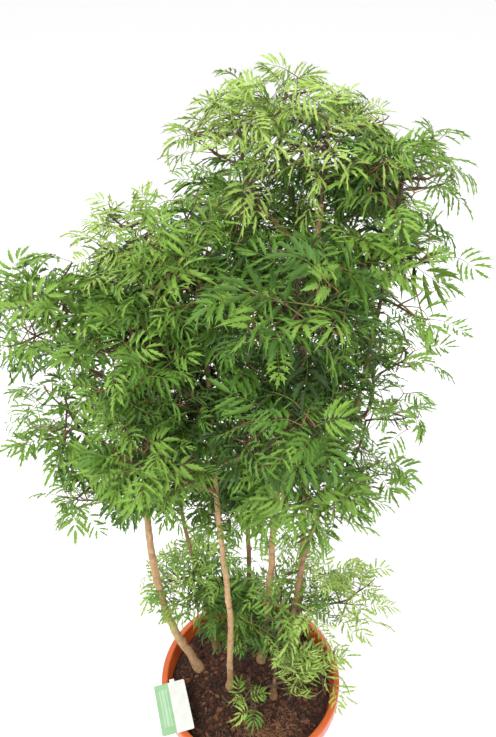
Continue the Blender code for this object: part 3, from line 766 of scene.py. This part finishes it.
bark_finishes = {"tan": bark_finish("tan_bark", BARK_TAN), "red": bark_finish("red_bark", BARK_RED)}
limbs = {}
for node in sorted(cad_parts):
    if not node.startswith(("stem_", "bough_")):
        continue
    is_stem = node.startswith("stem_")
    middles, ring_radii = limb_line(node, STEM_SIDES if is_stem else BOUGH_SIDES)
    if is_stem:
        middles = np.vstack([middles[0] - (0.0, 0.0, INTO_COMPOST), middles])
        ring_radii = np.concatenate([[ring_radii[0] * FOOT_SWELL], ring_radii])
    limb, limb_radii, limb_at = smoothed(middles, ring_radii, BARK_STEP)
    limb = crooked(node, limb, limb_radii, limb_at)
    limbs[node] = limb
    bark = bark_finishes["tan" if node in TAN_STEMS else "red"]
    dressed = bark_limb(node, limb, limb_radii, limb_at).piece(node + "_bark", [bark])
    place(dressed, "bark", node)

# The masses of foliage
# Each mass grows from the tip or the side of one limb: a thin stem through its middle, shoots that turn
# round it by the golden angle, finer twigs on those, and compound leaves on them all. A leaf is a green
# stalk with pairs of toothed leaflets. The rule and the spaces are those of the solids.
GOLDEN = math.pi * (3 - math.sqrt(5))
UP = np.array((0.0, 0.0, 1.0))
TWIG_RADII = (0.0027, 0.0015)
SHOOT_RADII = (0.0017, 0.0010)
TWIGLET_RADII = (0.0011, 0.0007)
CORE_TOP = 0.42
CORE_POINTS = 14
LOWEST_SHOOT = 0.2
SHOOT_SHARES = (0.60, 0.50, 0.40, 0.30)
SHOOT_RISE = (0.0, 0.7)
SHOOT_POINTS = 7
TWIGLETS = 2
TWIGLET_SHARE = 0.5
TWIGLET_SWINGS = (0.9, -0.9)
TWIGLET_SWAY = (-0.3, 0.3)
TWIGLET_RISE = (0.1, 0.7)
TWIGLET_POINTS = 5
TWIG_SIDES = 5
TWIG_PIECE = 0.004
TWIG_KNOT_GAP = 0.013
TWIG_KNOT_SWELL = 0.16

# Each tier is a ring of masses, as in the solids: its height, its distance from its own axis, how many
# masses it has, where the first stands, half the width and half the height of each, and its axis.
Tier = namedtuple("Tier", "name tall reach count first_deg half_wide half_tall x y")
TIERS = (
    Tier("top", 1.308, 0.055, 3, 210, 0.092, 0.090, 0.034, 0.032),
    Tier("shoulder", 1.265, 0.055, 2, -60, 0.094, 0.088, 0.136, 0.035),
    Tier("upper", 1.170, 0.115, 5, -90, 0.112, 0.096, 0.048, 0.012),
    Tier("middle", 1.015, 0.120, 5, -90, 0.110, 0.100, 0.042, 0.020),
    Tier("lower", 0.850, 0.100, 4, 0, 0.110, 0.108, 0.070, 0.045),
    Tier("hem", 0.690, 0.030, 1, 180, 0.100, 0.090, 0.000, 0.060),
    Tier("left_top", 1.165, 0.000, 1, 0, 0.086, 0.080, -0.150, 0.060),
    Tier("left_upper", 1.085, 0.080, 3, 180, 0.102, 0.088, -0.182, 0.008),
    Tier("left_lower", 0.925, 0.080, 3, 180, 0.100, 0.098, -0.178, 0.010),
    Tier("left_hem", 0.797, 0.050, 2, 180, 0.082, 0.088, -0.200, 0.010),
)
# The low growth: each mass stands at its height, and its way out from the foot of one stem.
Low = namedtuple("Low", "name foot tall out_deg out half_wide half_tall")
LOW_GROWTH = (
    Low("low_right", "stem_right", 0.405, -5, 0.100, 0.100, 0.090),
    Low("low_rim", "stem_stub", 0.330, 0, 0.090, 0.084, 0.054),
    Low("low_centre", "stem_stub", 0.480, 80, 0.075, 0.115, 0.125),
    Low("low_back", "stem_centre", 0.385, 150, 0.050, 0.095, 0.080),
    Low("low_left", "stem_mid_left", 0.460, 185, 0.035, 0.105, 0.125),
    Low("low_front", "stem_stub", 0.318, 215, 0.078, 0.054, 0.038),
)
Mass = namedtuple("Mass", "name tier centre half")


def on_circle(x, y, radius, degrees, tall):
    angle = math.radians(degrees)
    return np.array((x + radius * math.cos(angle), y + radius * math.sin(angle), tall))


def all_masses():
    masses = []
    for tier in TIERS:
        half = np.array((tier.half_wide, tier.half_wide, tier.half_tall))
        for k in range(tier.count):
            centre = on_circle(tier.x, tier.y, tier.reach, tier.first_deg + 360 * k / tier.count, tier.tall)
            masses.append(Mass(f"{tier.name}_{k + 1}", tier.name, centre, half))
    for low in LOW_GROWTH:
        foot = limbs[low.foot][0]
        half = np.array((low.half_wide, low.half_wide, low.half_tall))
        centre = on_circle(foot[0], foot[1], low.out, low.out_deg, low.tall)
        masses.append(Mass(low.name, "low", centre, half))
    return masses


MASSES = all_masses()


def egg_share(spot, mass):
    """How far out in a mass's egg a spot lies: 0 in its middle and 1 on its skin."""
    return math.sqrt((((spot - mass.centre) / mass.half) ** 2).sum())


def in_space(spot, mass):
    """True if a spot is in the mass's egg and on its own side of each neighbour."""

    def beyond(other):
        return ((spot - other.centre) ** 2).sum() - other.half[0] ** 2

    return egg_share(spot, mass) <= 1 and all(beyond(mass) <= beyond(other) for other in MASSES)


def curve(start, leave, arrive, end, count):
    """Points along a smooth curve. It leaves towards one point and arrives from another."""
    t = np.linspace(0, 1, count)[:, None]
    s = 1 - t
    return start * s**3 + leave * 3 * t * s * s + arrive * 3 * t * t * s + end * t**3


def root_of(mass):
    """Where a mass grows from: the spot on a limb nearest to its solid, and the way out from there."""
    corners = np.array([tuple(v.co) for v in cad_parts[mass.name].data.vertices])
    best = None
    for line in limbs.values():
        away = np.linalg.norm(line[:, None] - corners[None], axis=2)
        k = int(away.min(axis=1).argmin())
        if best is None or away[k].min() < best[0]:
            best = (away[k].min(), line, k)
    line, k = best[1], best[2]
    if k >= len(line) - 3:
        return line[-2], unit(line[-1] - line[-3])
    level = (mass.centre - line[k]) * (1.0, 1.0, 0.0)
    return line[k], unit(unit(level) + 0.7 * UP)


def grow_twigs(mass, draw):
    """The mass's own stem, its shoots and their twiglets, each as a path and its two radii."""
    start, along = root_of(mass)
    top = mass.centre + UP * mass.half[2] * CORE_TOP
    reach = np.linalg.norm(top - start)
    core = curve(start, start + along * reach * 0.4, top - UP * reach * 0.3, top, CORE_POINTS)
    twigs = [(core, TWIG_RADII)]
    turn = draw.uniform(0, 2 * math.pi)
    shoots = habit_of(mass).shoots
    for k in range(shoots):
        turn += GOLDEN
        root = core[int((CORE_POINTS - 1) * (LOWEST_SHOOT + (1 - LOWEST_SHOOT) * k / (shoots - 1)))]
        lean = unit(np.array((math.cos(turn), math.sin(turn), draw.uniform(*SHOOT_RISE))))
        for share in SHOOT_SHARES:
            tip = root + lean * mass.half[0] * share
            if in_space(tip, mass):
                break
        far = mass.half[0] * share
        shoot = curve(root, root + (lean + 0.2 * UP) * far * 0.35, tip - (lean + 0.5 * UP) * far * 0.3, tip,
                      SHOOT_POINTS)
        twigs.append((shoot, SHOOT_RADII))
        for j in range(TWIGLETS):
            fork = shoot[2 + 2 * j]
            swing = turn + TWIGLET_SWINGS[j] + draw.uniform(*TWIGLET_SWAY)
            aim = unit(np.array((math.cos(swing), math.sin(swing), draw.uniform(*TWIGLET_RISE))))
            end = fork + aim * far * TWIGLET_SHARE
            twiglet = curve(fork, fork + aim * far * 0.15, end - UP * far * 0.1, end, TWIGLET_POINTS)
            twigs.append((twiglet, TWIGLET_RADII))
    return twigs


def twig_bar(path, radii):
    """A twig as a bar with a knot at each leaf."""
    line, wide, at = smoothed(path, np.linspace(radii[0], radii[1], len(path)), TWIG_PIECE)
    knots = 1 + TWIG_KNOT_SWELL * np.maximum(0, np.cos(2 * math.pi * at / TWIG_KNOT_GAP)) ** 6
    return rod(line, wide * knots, TWIG_SIDES)


# The leaves of a mass
# Five kinds grow on one plant: broad old ones, slim and narrow ones, and lacy and ferny ones low down.
# A leaflet is a thin toothed blade, folded along its rib and bowed down by its weight.
Kind = namedtuple("Kind", "notches teeth pairs first last long wide droop")
KINDS = {
    "broad": Kind(
        ((0.08, 0.10), (0.20, 0.40), (0.38, 0.50), (0.56, 0.44), (0.76, 0.26)),
        ((0.26, 0.82), (0.45, 1.00), (0.64, 0.90), (0.83, 0.58)),
        4, 0.40, 0.90, 0.046, 0.0125, 1.1),
    "slim": Kind(
        ((0.12, 0.24), (0.32, 0.44), (0.55, 0.42), (0.77, 0.26)),
        ((0.36, 0.84), (0.60, 1.00), (0.83, 0.72)),
        4, 0.36, 0.92, 0.038, 0.0082, 1.2),
    "narrow": Kind(
        ((0.14, 0.28), (0.36, 0.46), (0.60, 0.42), (0.82, 0.24)),
        ((0.38, 0.86), (0.63, 1.00), (0.86, 0.66)),
        5, 0.34, 0.93, 0.036, 0.0062, 1.5),
    "lacy": Kind(
        ((0.10, 0.20), (0.36, 0.38), (0.66, 0.32)),
        ((0.38, 1.00), (0.72, 0.85)),
        6, 0.30, 0.95, 0.025, 0.0100, 0.7),
    "ferny": Kind(
        ((0.12, 0.24), (0.42, 0.46), (0.72, 0.36)),
        ((0.40, 1.00), (0.70, 0.85)),
        5, 0.34, 0.95, 0.029, 0.0068, 1.2),
}
STALK_RADII = (0.0011, 0.0004)
STALK_RISE = (0.04, 0.26)
STALK_HANG = (-0.02, 0.18)
STALK_SWAY = (-0.16, 0.16)
JOINT_SWELL = 1.7
JOINT_LONG = 0.014
FOOT_JOINT = 0.02
LEAF_ROLL = 0.75
LEAF_OF_FULL_SIZE = 0.092
LEAF_SIZES = (0.60, 1.12)
LEAF_SIZE_CHANGES = (0.88, 1.12)
LEAF_LENGTHS = (0.70, 1.25)
LEAF_RISE = (-0.35, 0.70)
# A leaflet: how far it stands off its stalk, from the first pair to the last, how that wanders, how long
# it is along the leaf and by chance, and how it sags, lifts, bows, bends sideways and folds
SPREAD_DEG = (82, 48)
SPREAD_CHANGES = (-0.22, 0.22)
LEAFLET_GROWTH = (0.78, 1.0, 0.72)
LEAFLET_LENGTHS = (0.84, 1.14)
LEAFLET_SAG = (-0.10, 0.14)
LEAFLET_LIFT = 0.22
BOWS = (0.35, 1.45)
SICKLES = (0.15, 1.15)
FOLD_DEG = (22, 50)
LAST_LEAFLET_GROWTH = 0.95
LAST_SICKLES = (-0.4, 0.4)
OUTWARD = 0.45
TWIG_STEP = 2
SHORT_LEAF = 0.48
WIDEST_TIP = 1.02
WIDEST_EGG = 1.25
REACH_SLACK = 0.012
LIP_CLEAR = 0.001
BED_CLEAR = 0.006
# How a mass grows: its shoots, the leaves at each place from a twig's tip back, their usual length, how far
# out in the egg their stalks may end, and how bare of leaflets the foot of a stalk is
Habit = namedtuple("Habit", "shoots leaves long furthest bare")
HABITS = {
    "full": Habit(9, (3, 1, 1), 0.086, (0.70, 0.92), 1.0),
    "airy": Habit(7, (2, 1, 1), 0.092, (0.60, 0.94), 1.2),
    "open": Habit(7, (2, 1), 0.108, (0.56, 0.96), 1.3),
    "close": Habit(7, (2, 1), 0.070, (0.30, 0.56), 1.0),
    "spray": Habit(8, (2, 1, 1), 0.104, (0.62, 1.00), 1.0),
    "trail": Habit(7, (2, 1), 0.120, (0.66, 1.00), 1.0),
    "tuft": Habit(5, (1, 1), 0.130, (0.66, 0.96), 1.0),
}
HABIT_OF = {
    "top": "open", "left_top": "open", "shoulder": "airy", "upper_2": "airy", "lower_1": "airy",
    "left_lower_1": "airy", "left_hem_1": "airy", "middle_2": "close", "low_right": "spray",
    "low_rim": "trail", "low_front": "tuft",
}


def told_of(mass, table, usual):
    """What a table says of a mass, or else of its tier."""
    return table.get(mass.name, table.get(mass.tier, usual))


def habit_of(mass):
    return HABITS[told_of(mass, HABIT_OF, "full")]


def leaflet_pattern(kind):
    """A leaflet's corners, as shares of its length and half width, and its triangles."""
    rib = [(0.0, 0.0), *((t, 0.0) for t, w in kind.notches), (1.0, 0.0)]
    corners = list(rib)
    faces = []
    for side in (1, -1):
        first = len(corners)
        corners += [(t, side * w) for t, w in kind.notches]
        tooth = len(corners)
        corners += [(t, side * w) for t, w in kind.teeth]
        edge = [0, *range(first, tooth), len(rib) - 1]
        own = [(k, k + 1, edge[k + 1]) for k in range(len(rib) - 2)]
        own += [(k, edge[k + 1], edge[k]) for k in range(1, len(rib) - 1)]
        own += [(edge[k + 1], edge[k + 2], tooth + k) for k in range(len(kind.teeth))]
        faces += own if side > 0 else [face[::-1] for face in own]
    return np.array(corners), np.array(faces)


# Painted shade: a leaf's green is darker the deeper in the crown and the lower in its mass it sits, by so
# many greens from the crown's middle to its skin
LIGHT_STEPS = 4.4
LIGHT_LOST = 0.35
LIGHT_OF_HEIGHT = 0.2
SPRAY_SPREAD = 0.45
LEAF_SPREAD = 0.55


def light_at(spot, mass):
    """How much light a leaf gets, painted into its green as shade: 0 between the masses and 1 at the crown's
    skin.
    """
    nearest = sorted(egg_share(spot, other) for other in MASSES)[:2]
    height = (spot[2] - mass.centre[2]) / mass.half[2]
    return min(1.0, sum(nearest) / 2 - LIGHT_LOST + LIGHT_OF_HEIGHT * height)


def seats_for_leaves(mass, twigs, draw):
    """Where each leaf starts and where its stalk ends, with its light. The leaves turn round each twig
    near its tip and sit singly down the mass's own stem. One that would leave the egg is shorter, and left
    out if that isn't enough."""
    seats = []
    habit = habit_of(mass)
    turn = draw.uniform(0, 2 * math.pi)
    for path, radii in twigs:
        last = len(path) - 1
        spray = draw.gauss(0, SPRAY_SPREAD)
        below = (1,) * last if radii == TWIG_RADII else ()
        for back, count in zip(range(0, last, TWIG_STEP), habit.leaves + below):
            root = path[last - back]
            outward = unit((root - mass.centre) / mass.half)
            for _ in range(count):
                turn += GOLDEN
                heading = np.array((math.cos(turn), math.sin(turn), draw.uniform(*LEAF_RISE)))
                heading = unit(heading + OUTWARD * outward)
                long = habit.long * draw.uniform(*LEAF_LENGTHS) * mass.half[0] / 0.1
                for share in (1.0, 0.8, 0.62, SHORT_LEAF):
                    tip = root + heading * long * share
                    is_last_chance = share == SHORT_LEAF and back == 0
                    limit = WIDEST_TIP if is_last_chance else draw.uniform(*habit.furthest)
                    if egg_share(tip, mass) < limit:
                        # The leaf's light is kept to paint its shade into its green
                        seats.append((root, tip, LIGHT_STEPS * light_at(tip, mass) + spray))
                        break
    return seats


def bowed_stalks(roots, tips, draw):
    """The control points of each leaf's stalk, which rises from its twig, arches over and hangs."""
    aim = tips - roots
    far = np.linalg.norm(aim, axis=1, keepdims=True)
    heading = unit(aim)
    n = len(roots)
    level = unit(heading * (1.0, 1.0, 0.5))
    rise = draw.uniform(*STALK_RISE, (n, 1))
    hang = draw.uniform(*STALK_HANG, (n, 1))
    sway = unit(np.cross(UP, heading)) * draw.uniform(*STALK_SWAY, (n, 1))
    leave = roots + (heading * 0.38 + UP * rise + sway) * far
    arrive = tips + (-level * 0.30 + UP * hang + sway) * far
    return roots, leave, arrive, tips


def along_stalks(controls, shares):
    """The places and the headings at those shares along each stalk: leaves by shares by three."""
    p0, p1, p2, p3 = (p[:, None] for p in controls)
    t = np.asarray(shares)[None, :, None]
    s = 1 - t
    places = p0 * s**3 + 3 * p1 * t * s * s + 3 * p2 * t * t * s + p3 * t**3
    headings = 3 * (p1 - p0) * s * s + 6 * (p2 - p1) * t * s + 3 * (p3 - p2) * t * t
    return places, unit(headings)


def stalk_frames(headings, rolls):
    """A side and an upper direction at each place of each stalk."""
    level = unit(np.cross(UP, headings[:, :1]) + 1e-6)
    side = unit(level - headings * (level * headings).sum(axis=2, keepdims=True))
    above = np.cross(headings, side)
    turned_side = side * np.cos(rolls) + above * np.sin(rolls)
    return turned_side, np.cross(headings, turned_side)


def pair_shares(kind, bare):
    """Where along its stalk a leaf's pairs of leaflets grow."""
    return np.linspace(kind.first * bare, kind.last, kind.pairs)


def stalk_shares(kind, bare):
    """The places of a stalk's rings, and True for each ring that begins a joint."""
    joints = [FOOT_JOINT, *pair_shares(kind, bare)]
    shares = [0.0]
    for joint in joints:
        shares += [joint - JOINT_LONG, joint + JOINT_LONG]
    shares = np.array([0.0, *shares[2:], 1.0])
    begins = np.isin(np.arange(len(shares)), [0, *range(2, 2 * len(joints), 2)])
    return shares, begins


def grow_stalks(kind, bare, controls, rolls, widths):
    """The stalks of many leaves as three-sided bars, a little swollen at each joint."""
    shares = stalk_shares(kind, bare)[0]
    places, headings = along_stalks(controls, shares)
    side, above = stalk_frames(headings, rolls)
    taper = np.interp(shares, (0.0, 1.0), STALK_RADII)
    taper[0] *= JOINT_SWELL
    radii = taper[None, :, None] * widths[:, None, None]
    rings = [places + radii * (side * math.cos(a) + above * math.sin(a))
             for a in (math.pi / 2, math.pi * 7 / 6, math.pi * 11 / 6)]
    return np.stack(rings, axis=2).reshape(len(places), -1, 3)


def grow_leaflets(kind, bare, pattern, controls, rolls, sizes, draw):
    """All leaflets of many leaves: leaves by leaflets by corners by three."""
    shares = np.concatenate([np.repeat(pair_shares(kind, bare), 2), [1.0]])
    n, m = len(rolls), len(shares)
    places, headings = along_stalks(controls, shares)
    side, above = stalk_frames(headings, rolls)
    spread = np.radians(np.interp(shares, (kind.first, 1.0), SPREAD_DEG))
    spread[-1] = 0.0
    hand = np.where(np.arange(m) % 2 == 0, 1.0, -1.0)
    spread = spread[None] + draw.uniform(*SPREAD_CHANGES, (n, m))
    way = headings * np.cos(spread)[..., None] + side * (np.sin(spread) * hand)[..., None]
    way = unit(way - UP * draw.uniform(*LEAFLET_SAG, (n, m))[..., None] + above * LEAFLET_LIFT)
    face = unit(above - way * (above * way).sum(axis=2, keepdims=True))
    left = np.cross(face, way)
    growth = np.interp(shares, (kind.first, 0.5 + kind.first / 2, 1.0), LEAFLET_GROWTH)
    growth[-1] = LAST_LEAFLET_GROWTH
    length = kind.long * growth[None] * sizes[:, None] * draw.uniform(*LEAFLET_LENGTHS, (n, m))
    half = kind.wide / 2 * np.sqrt(length / kind.long)
    bow = kind.droop * draw.uniform(*BOWS, (n, m))
    sickle = np.sign((left * headings).sum(axis=2)) * draw.uniform(*SICKLES, (n, m))
    sickle[:, -1] = draw.uniform(*LAST_SICKLES, n)
    fold = np.radians(draw.uniform(*FOLD_DEG, (n, m)))
    t = pattern[:, 0]
    w = pattern[:, 1]
    length, half, bow, sickle, fold = (x[..., None, None] for x in (length, half, bow, sickle, fold))
    way, face, left = (x[:, :, None] for x in (way, face, left))
    t = t[None, None, :, None]
    w = w[None, None, :, None] * half
    rib = places[:, :, None] + length * (way * t - face * bow * t**2 / 2 + left * sickle * t**2 / 2)
    across = (left - way * sickle * t) * w * np.cos(fold)
    lift = (face + way * bow * t) * np.abs(w) * np.sin(fold)
    return rib + across + lift


def clear_of_pot(corners):
    """For each leaf, True if none of its corners is in the pot, its lip or the compost."""
    across = np.hypot(corners[..., 0], corners[..., 1])
    tall = corners[..., 2]
    by_lip = (across > rim_radius - LIP_WIDE - 2 * LIP_CLEAR) & (across < rim_radius + LIP_CLEAR)
    in_lip = by_lip & (tall < pot_tall + LIP_CLEAR)
    in_bed = (across < rim_radius) & (tall < bed_tall + BED_CLEAR)
    return ~(in_lip | in_bed).reshape(len(corners), -1).any(axis=1)


def in_reach(corners, mass):
    """For each leaf, True if it keeps near its own mass, and to the box of the solids but for some slack."""
    low = np.array(cad_low) - REACH_SLACK
    high = np.array(cad_high) + REACH_SLACK
    boxed = ((corners > low) & (corners < high)).reshape(len(corners), -1).all(axis=1)
    away = (((corners - mass.centre) / mass.half) ** 2).sum(axis=-1).reshape(len(corners), -1).max(axis=1)
    return boxed & (away < WIDEST_EGG**2)


LEAF_GREENS = {
    "shade_green": (0.022, 0.055, 0.006),
    "deep_green": (0.048, 0.118, 0.012),
    "mid_green": (0.088, 0.196, 0.021),
    "bright_green": (0.165, 0.300, 0.040),
    "young_green": (0.300, 0.430, 0.088),
}
STALK_GREEN = (0.16, 0.22, 0.045)
STALK_DARK = (0.075, 0.060, 0.032)
STALK_TAN = (0.26, 0.175, 0.070)
JOINT_BROWN = (0.30, 0.12, 0.035)
TWIG_BROWNS = ((0.100, 0.066, 0.036), (0.165, 0.115, 0.060), (0.050, 0.030, 0.020))
# Young growth and painted light: each tier or mass starts that many greens brighter, and a negative number
# paints it darker as shade
YOUNG_GROWTH_AND_PAINTED_LIGHT = {
    "top": 2.0, "top_1": 1.9, "top_2": 3.3, "shoulder": 0.4, "left_top": 2.3,
    "upper": 0.7, "upper_1": -0.9, "upper_2": 1.1, "middle": -0.8, "middle_1": -1.3, "middle_2": 1.6,
    "left_upper": 0.3, "left_upper_1": 0.9, "left_upper_2": -0.3, "left_lower": 0.7, "left_lower_1": 0.9,
    "lower": -0.4, "lower_1": 2.7, "lower_4": 1.3, "left_hem": 0.7,
    "low_right": 3.6, "low_rim": 2.6, "low_front": -0.4, "low_centre": -0.3, "low_left": -0.2,
    "low_back": -0.2,
}
# How often the broad, the slim, the narrow, the lacy and the ferny leaves grow
KIND_ODDS = {
    "old": (0.28, 0.36, 0.16, 0.10, 0.10),
    "top": (0.00, 0.14, 0.72, 0.04, 0.10),
    "low": (0.00, 0.36, 0.00, 0.30, 0.34),
    "spray": (0.00, 0.60, 0.15, 0.00, 0.25),
}
ODDS_OF = {
    "top": "top", "left_top": "top", "shoulder": "top",
    "low": "low", "low_right": "spray", "low_rim": "spray",
}
YOUNG_TIERS = ("top", "left_top", "low")


def leaf_finish(name, colour):
    """A living leaf: plain green, a little mottled, with a soft waxy gloss."""
    made = Finish(name, 0.40, specular=0.32)
    dark = tuple(0.80 * level for level in colour)
    pale = tuple(min(1.0, 1.22 * level) for level in colour)
    made.tones(dark, pale, 55.0, 1.0, 0.30, 0.70)
    made.rough(0.30, 0.48, 160.0)
    made.bump(0.00025, 900.0)
    return made


stalk_browns = {
    "leaf_stalk_green": STALK_GREEN, "leaf_stalk_dark": STALK_DARK, "leaf_stalk_tan": STALK_TAN,
    "leaf_joint_brown": JOINT_BROWN,
}
leaf_finishes = [leaf_finish(name, colour) for name, colour in (LEAF_GREENS | stalk_browns).items()]
STALK, DARK_STALK, TAN_STALK, JOINT = (len(LEAF_GREENS) + k for k in range(4))
STALK_COLOURS = {"top": (DARK_STALK, DARK_STALK), "left_top": (STALK, DARK_STALK), "low": (STALK, STALK)}
twig_finish = bark_finish("twig_bark", TWIG_BROWNS)
patterns = {name: leaflet_pattern(kind) for name, kind in KINDS.items()}


def green_of(light, young_and_painted_light, brightest, draw):
    """The number of a leaf's green, by how much light its spray gets, so that the green holds painted light
    and shade.
    """
    return int(min(max(light + young_and_painted_light + draw.gauss(0, LEAF_SPREAD), 0), brightest))


def add_leaves(heap, mass, kind_name, seats, greens, draw):
    """Grows the leaves of one kind, and leaves out those that would cut the pot or leave the crown."""
    if not seats:
        return
    kind = KINDS[kind_name]
    bare = habit_of(mass).bare
    pattern, faces = patterns[kind_name]
    roots = np.array([root for root, tip, light in seats])
    tips = np.array([tip for root, tip, light in seats])
    controls = bowed_stalks(roots, tips, draw)
    rolls = draw.normal(0, LEAF_ROLL, (len(seats), 1, 1))
    sizes = np.clip(np.linalg.norm(tips - roots, axis=1) / LEAF_OF_FULL_SIZE, *LEAF_SIZES)
    sizes = sizes * draw.uniform(*LEAF_SIZE_CHANGES, len(seats))
    leaflets = grow_leaflets(kind, bare, pattern, controls, rolls, sizes, draw)
    stalks = grow_stalks(kind, bare, controls, rolls, sizes)
    keep = clear_of_pot(leaflets) & clear_of_pot(stalks) & in_reach(leaflets, mass)
    leaflets, stalks, greens = leaflets[keep], stalks[keep], np.array(greens)[keep]
    n, m, corners = leaflets.shape[:3]
    if n == 0:
        return
    offsets = np.arange(n * m)[:, None, None] * corners
    all_faces = (faces[None] + offsets).reshape(-1, 3)
    heap.add(leaflets.reshape(-1, 3), all_faces, np.repeat(greens, m * len(faces)))
    begins = stalk_shares(kind, bare)[1]
    bars = rod_faces(len(begins), 3)
    offsets = np.arange(n)[:, None, None] * len(begins) * 3
    stalk, foot = STALK_COLOURS.get(mass.tier, (STALK, TAN_STALK))
    worn = np.full(len(bars), stalk)
    worn[:-2] = np.where(np.repeat(begins[:-1], 6), JOINT, stalk)
    worn[6:12] = foot
    heap.add(stalks.reshape(-1, 3), (bars[None] + offsets).reshape(-1, 3), np.tile(worn, n))


for tier_name in [*(tier.name for tier in TIERS), "low"]:
    leaves = Heap()
    twig_heap = Heap()
    is_young = tier_name in YOUNG_TIERS
    brightest = len(LEAF_GREENS) - (1 if is_young else 2)
    members = [mass for mass in MASSES if mass.tier == tier_name]
    for mass in members:
        plain_draw = random.Random(mass.name)
        numbers = np.random.default_rng(plain_draw.randrange(2**32))
        twigs = grow_twigs(mass, plain_draw)
        for path, radii in twigs:
            twig_heap.add(*twig_bar(path, radii))
        seats = seats_for_leaves(mass, twigs, plain_draw)
        odds = KIND_ODDS[told_of(mass, ODDS_OF, "old")]
        picked = plain_draw.choices(list(KINDS), odds, k=len(seats))
        # The mass's young growth together with its painted light and shade, in greens
        young_and_painted_light = told_of(mass, YOUNG_GROWTH_AND_PAINTED_LIGHT, 0.0)
        # Each leaf's green carries painted shade from its light in the crown
        greens = [green_of(light, young_and_painted_light, brightest, plain_draw) for root, tip, light in seats]
        for kind_name in KINDS:
            own = [k for k, picked_kind in enumerate(picked) if picked_kind == kind_name]
            add_leaves(leaves, mass, kind_name, [seats[k] for k in own], [greens[k] for k in own], numbers)
    names = [mass.name for mass in members]
    place(leaves.piece(tier_name + "_leaves", leaf_finishes), "young_leaf" if is_young else "leaf", *names)
    place(twig_heap.piece(tier_name + "_twigs", [twig_finish]), "bark", *names)

# The studio
# A pale floor under soft white light, and a camera at eye height that looks down on the plant.
FLOOR_WIDE = 40.0
FLOOR_WHITE = (0.97, 0.97, 0.97)
SKY_WHITE = (1.0, 1.0, 1.0)
EYE = (-0.0048, -0.769, 1.582)
EYE_DOWN_DEG = 36.0
LENS = 35.0
SENSOR_WIDE = 36.0
# Each lamp: where it stands, the height that it aims at, how wide it is and its watts
LAMPS = {
    "key_light": ((-1.4, -1.8, 3.2), 0.9, 1.2, 90.0),
    "fill_light": ((2.0, -1.4, 2.2), 0.8, 1.6, 25.0),
    "back_light": ((0.4, 2.0, 2.6), 1.0, 1.6, 25.0),
}

floor_mesh = bmesh.new()
bmesh.ops.create_grid(floor_mesh, x_segments=4, y_segments=4, size=FLOOR_WIDE / 2)
floor = mesh_object("studio_floor", floor_mesh)
floor_finish = Finish("pale_floor", 0.9, specular=0.1)
floor_finish.shader.inputs["Base Color"].default_value = (*FLOOR_WHITE, 1.0)
floor.data.materials.append(floor_finish.material)
for name, (stand, aim_tall, wide, watts) in LAMPS.items():
    light = bpy.data.lights.new(name, "AREA")
    light.shape = "DISK"
    light.size = wide
    light.energy = watts
    lamp = in_scene(name, light)
    lamp.location = stand
    lamp.rotation_euler = (Vector(stand) - Vector((0.0, 0.0, aim_tall))).to_track_quat("Z", "Y").to_euler()
world = bpy.data.worlds.new("soft_white")
world.use_nodes = True
world.node_tree.nodes["Background"].inputs["Color"].default_value = (*SKY_WHITE, 1.0)
bpy.context.scene.world = world
bpy.context.scene.view_settings.view_transform = "Standard"
camera_data = bpy.data.cameras.new("camera")
camera_data.lens = LENS
camera_data.sensor_width = SENSOR_WIDE
camera_data.dof.use_dof = False
camera = in_scene("camera", camera_data)
camera.location = EYE
camera.rotation_euler = (math.radians(90 - EYE_DOWN_DEG), 0.0, 0.0)
bpy.context.scene.camera = camera
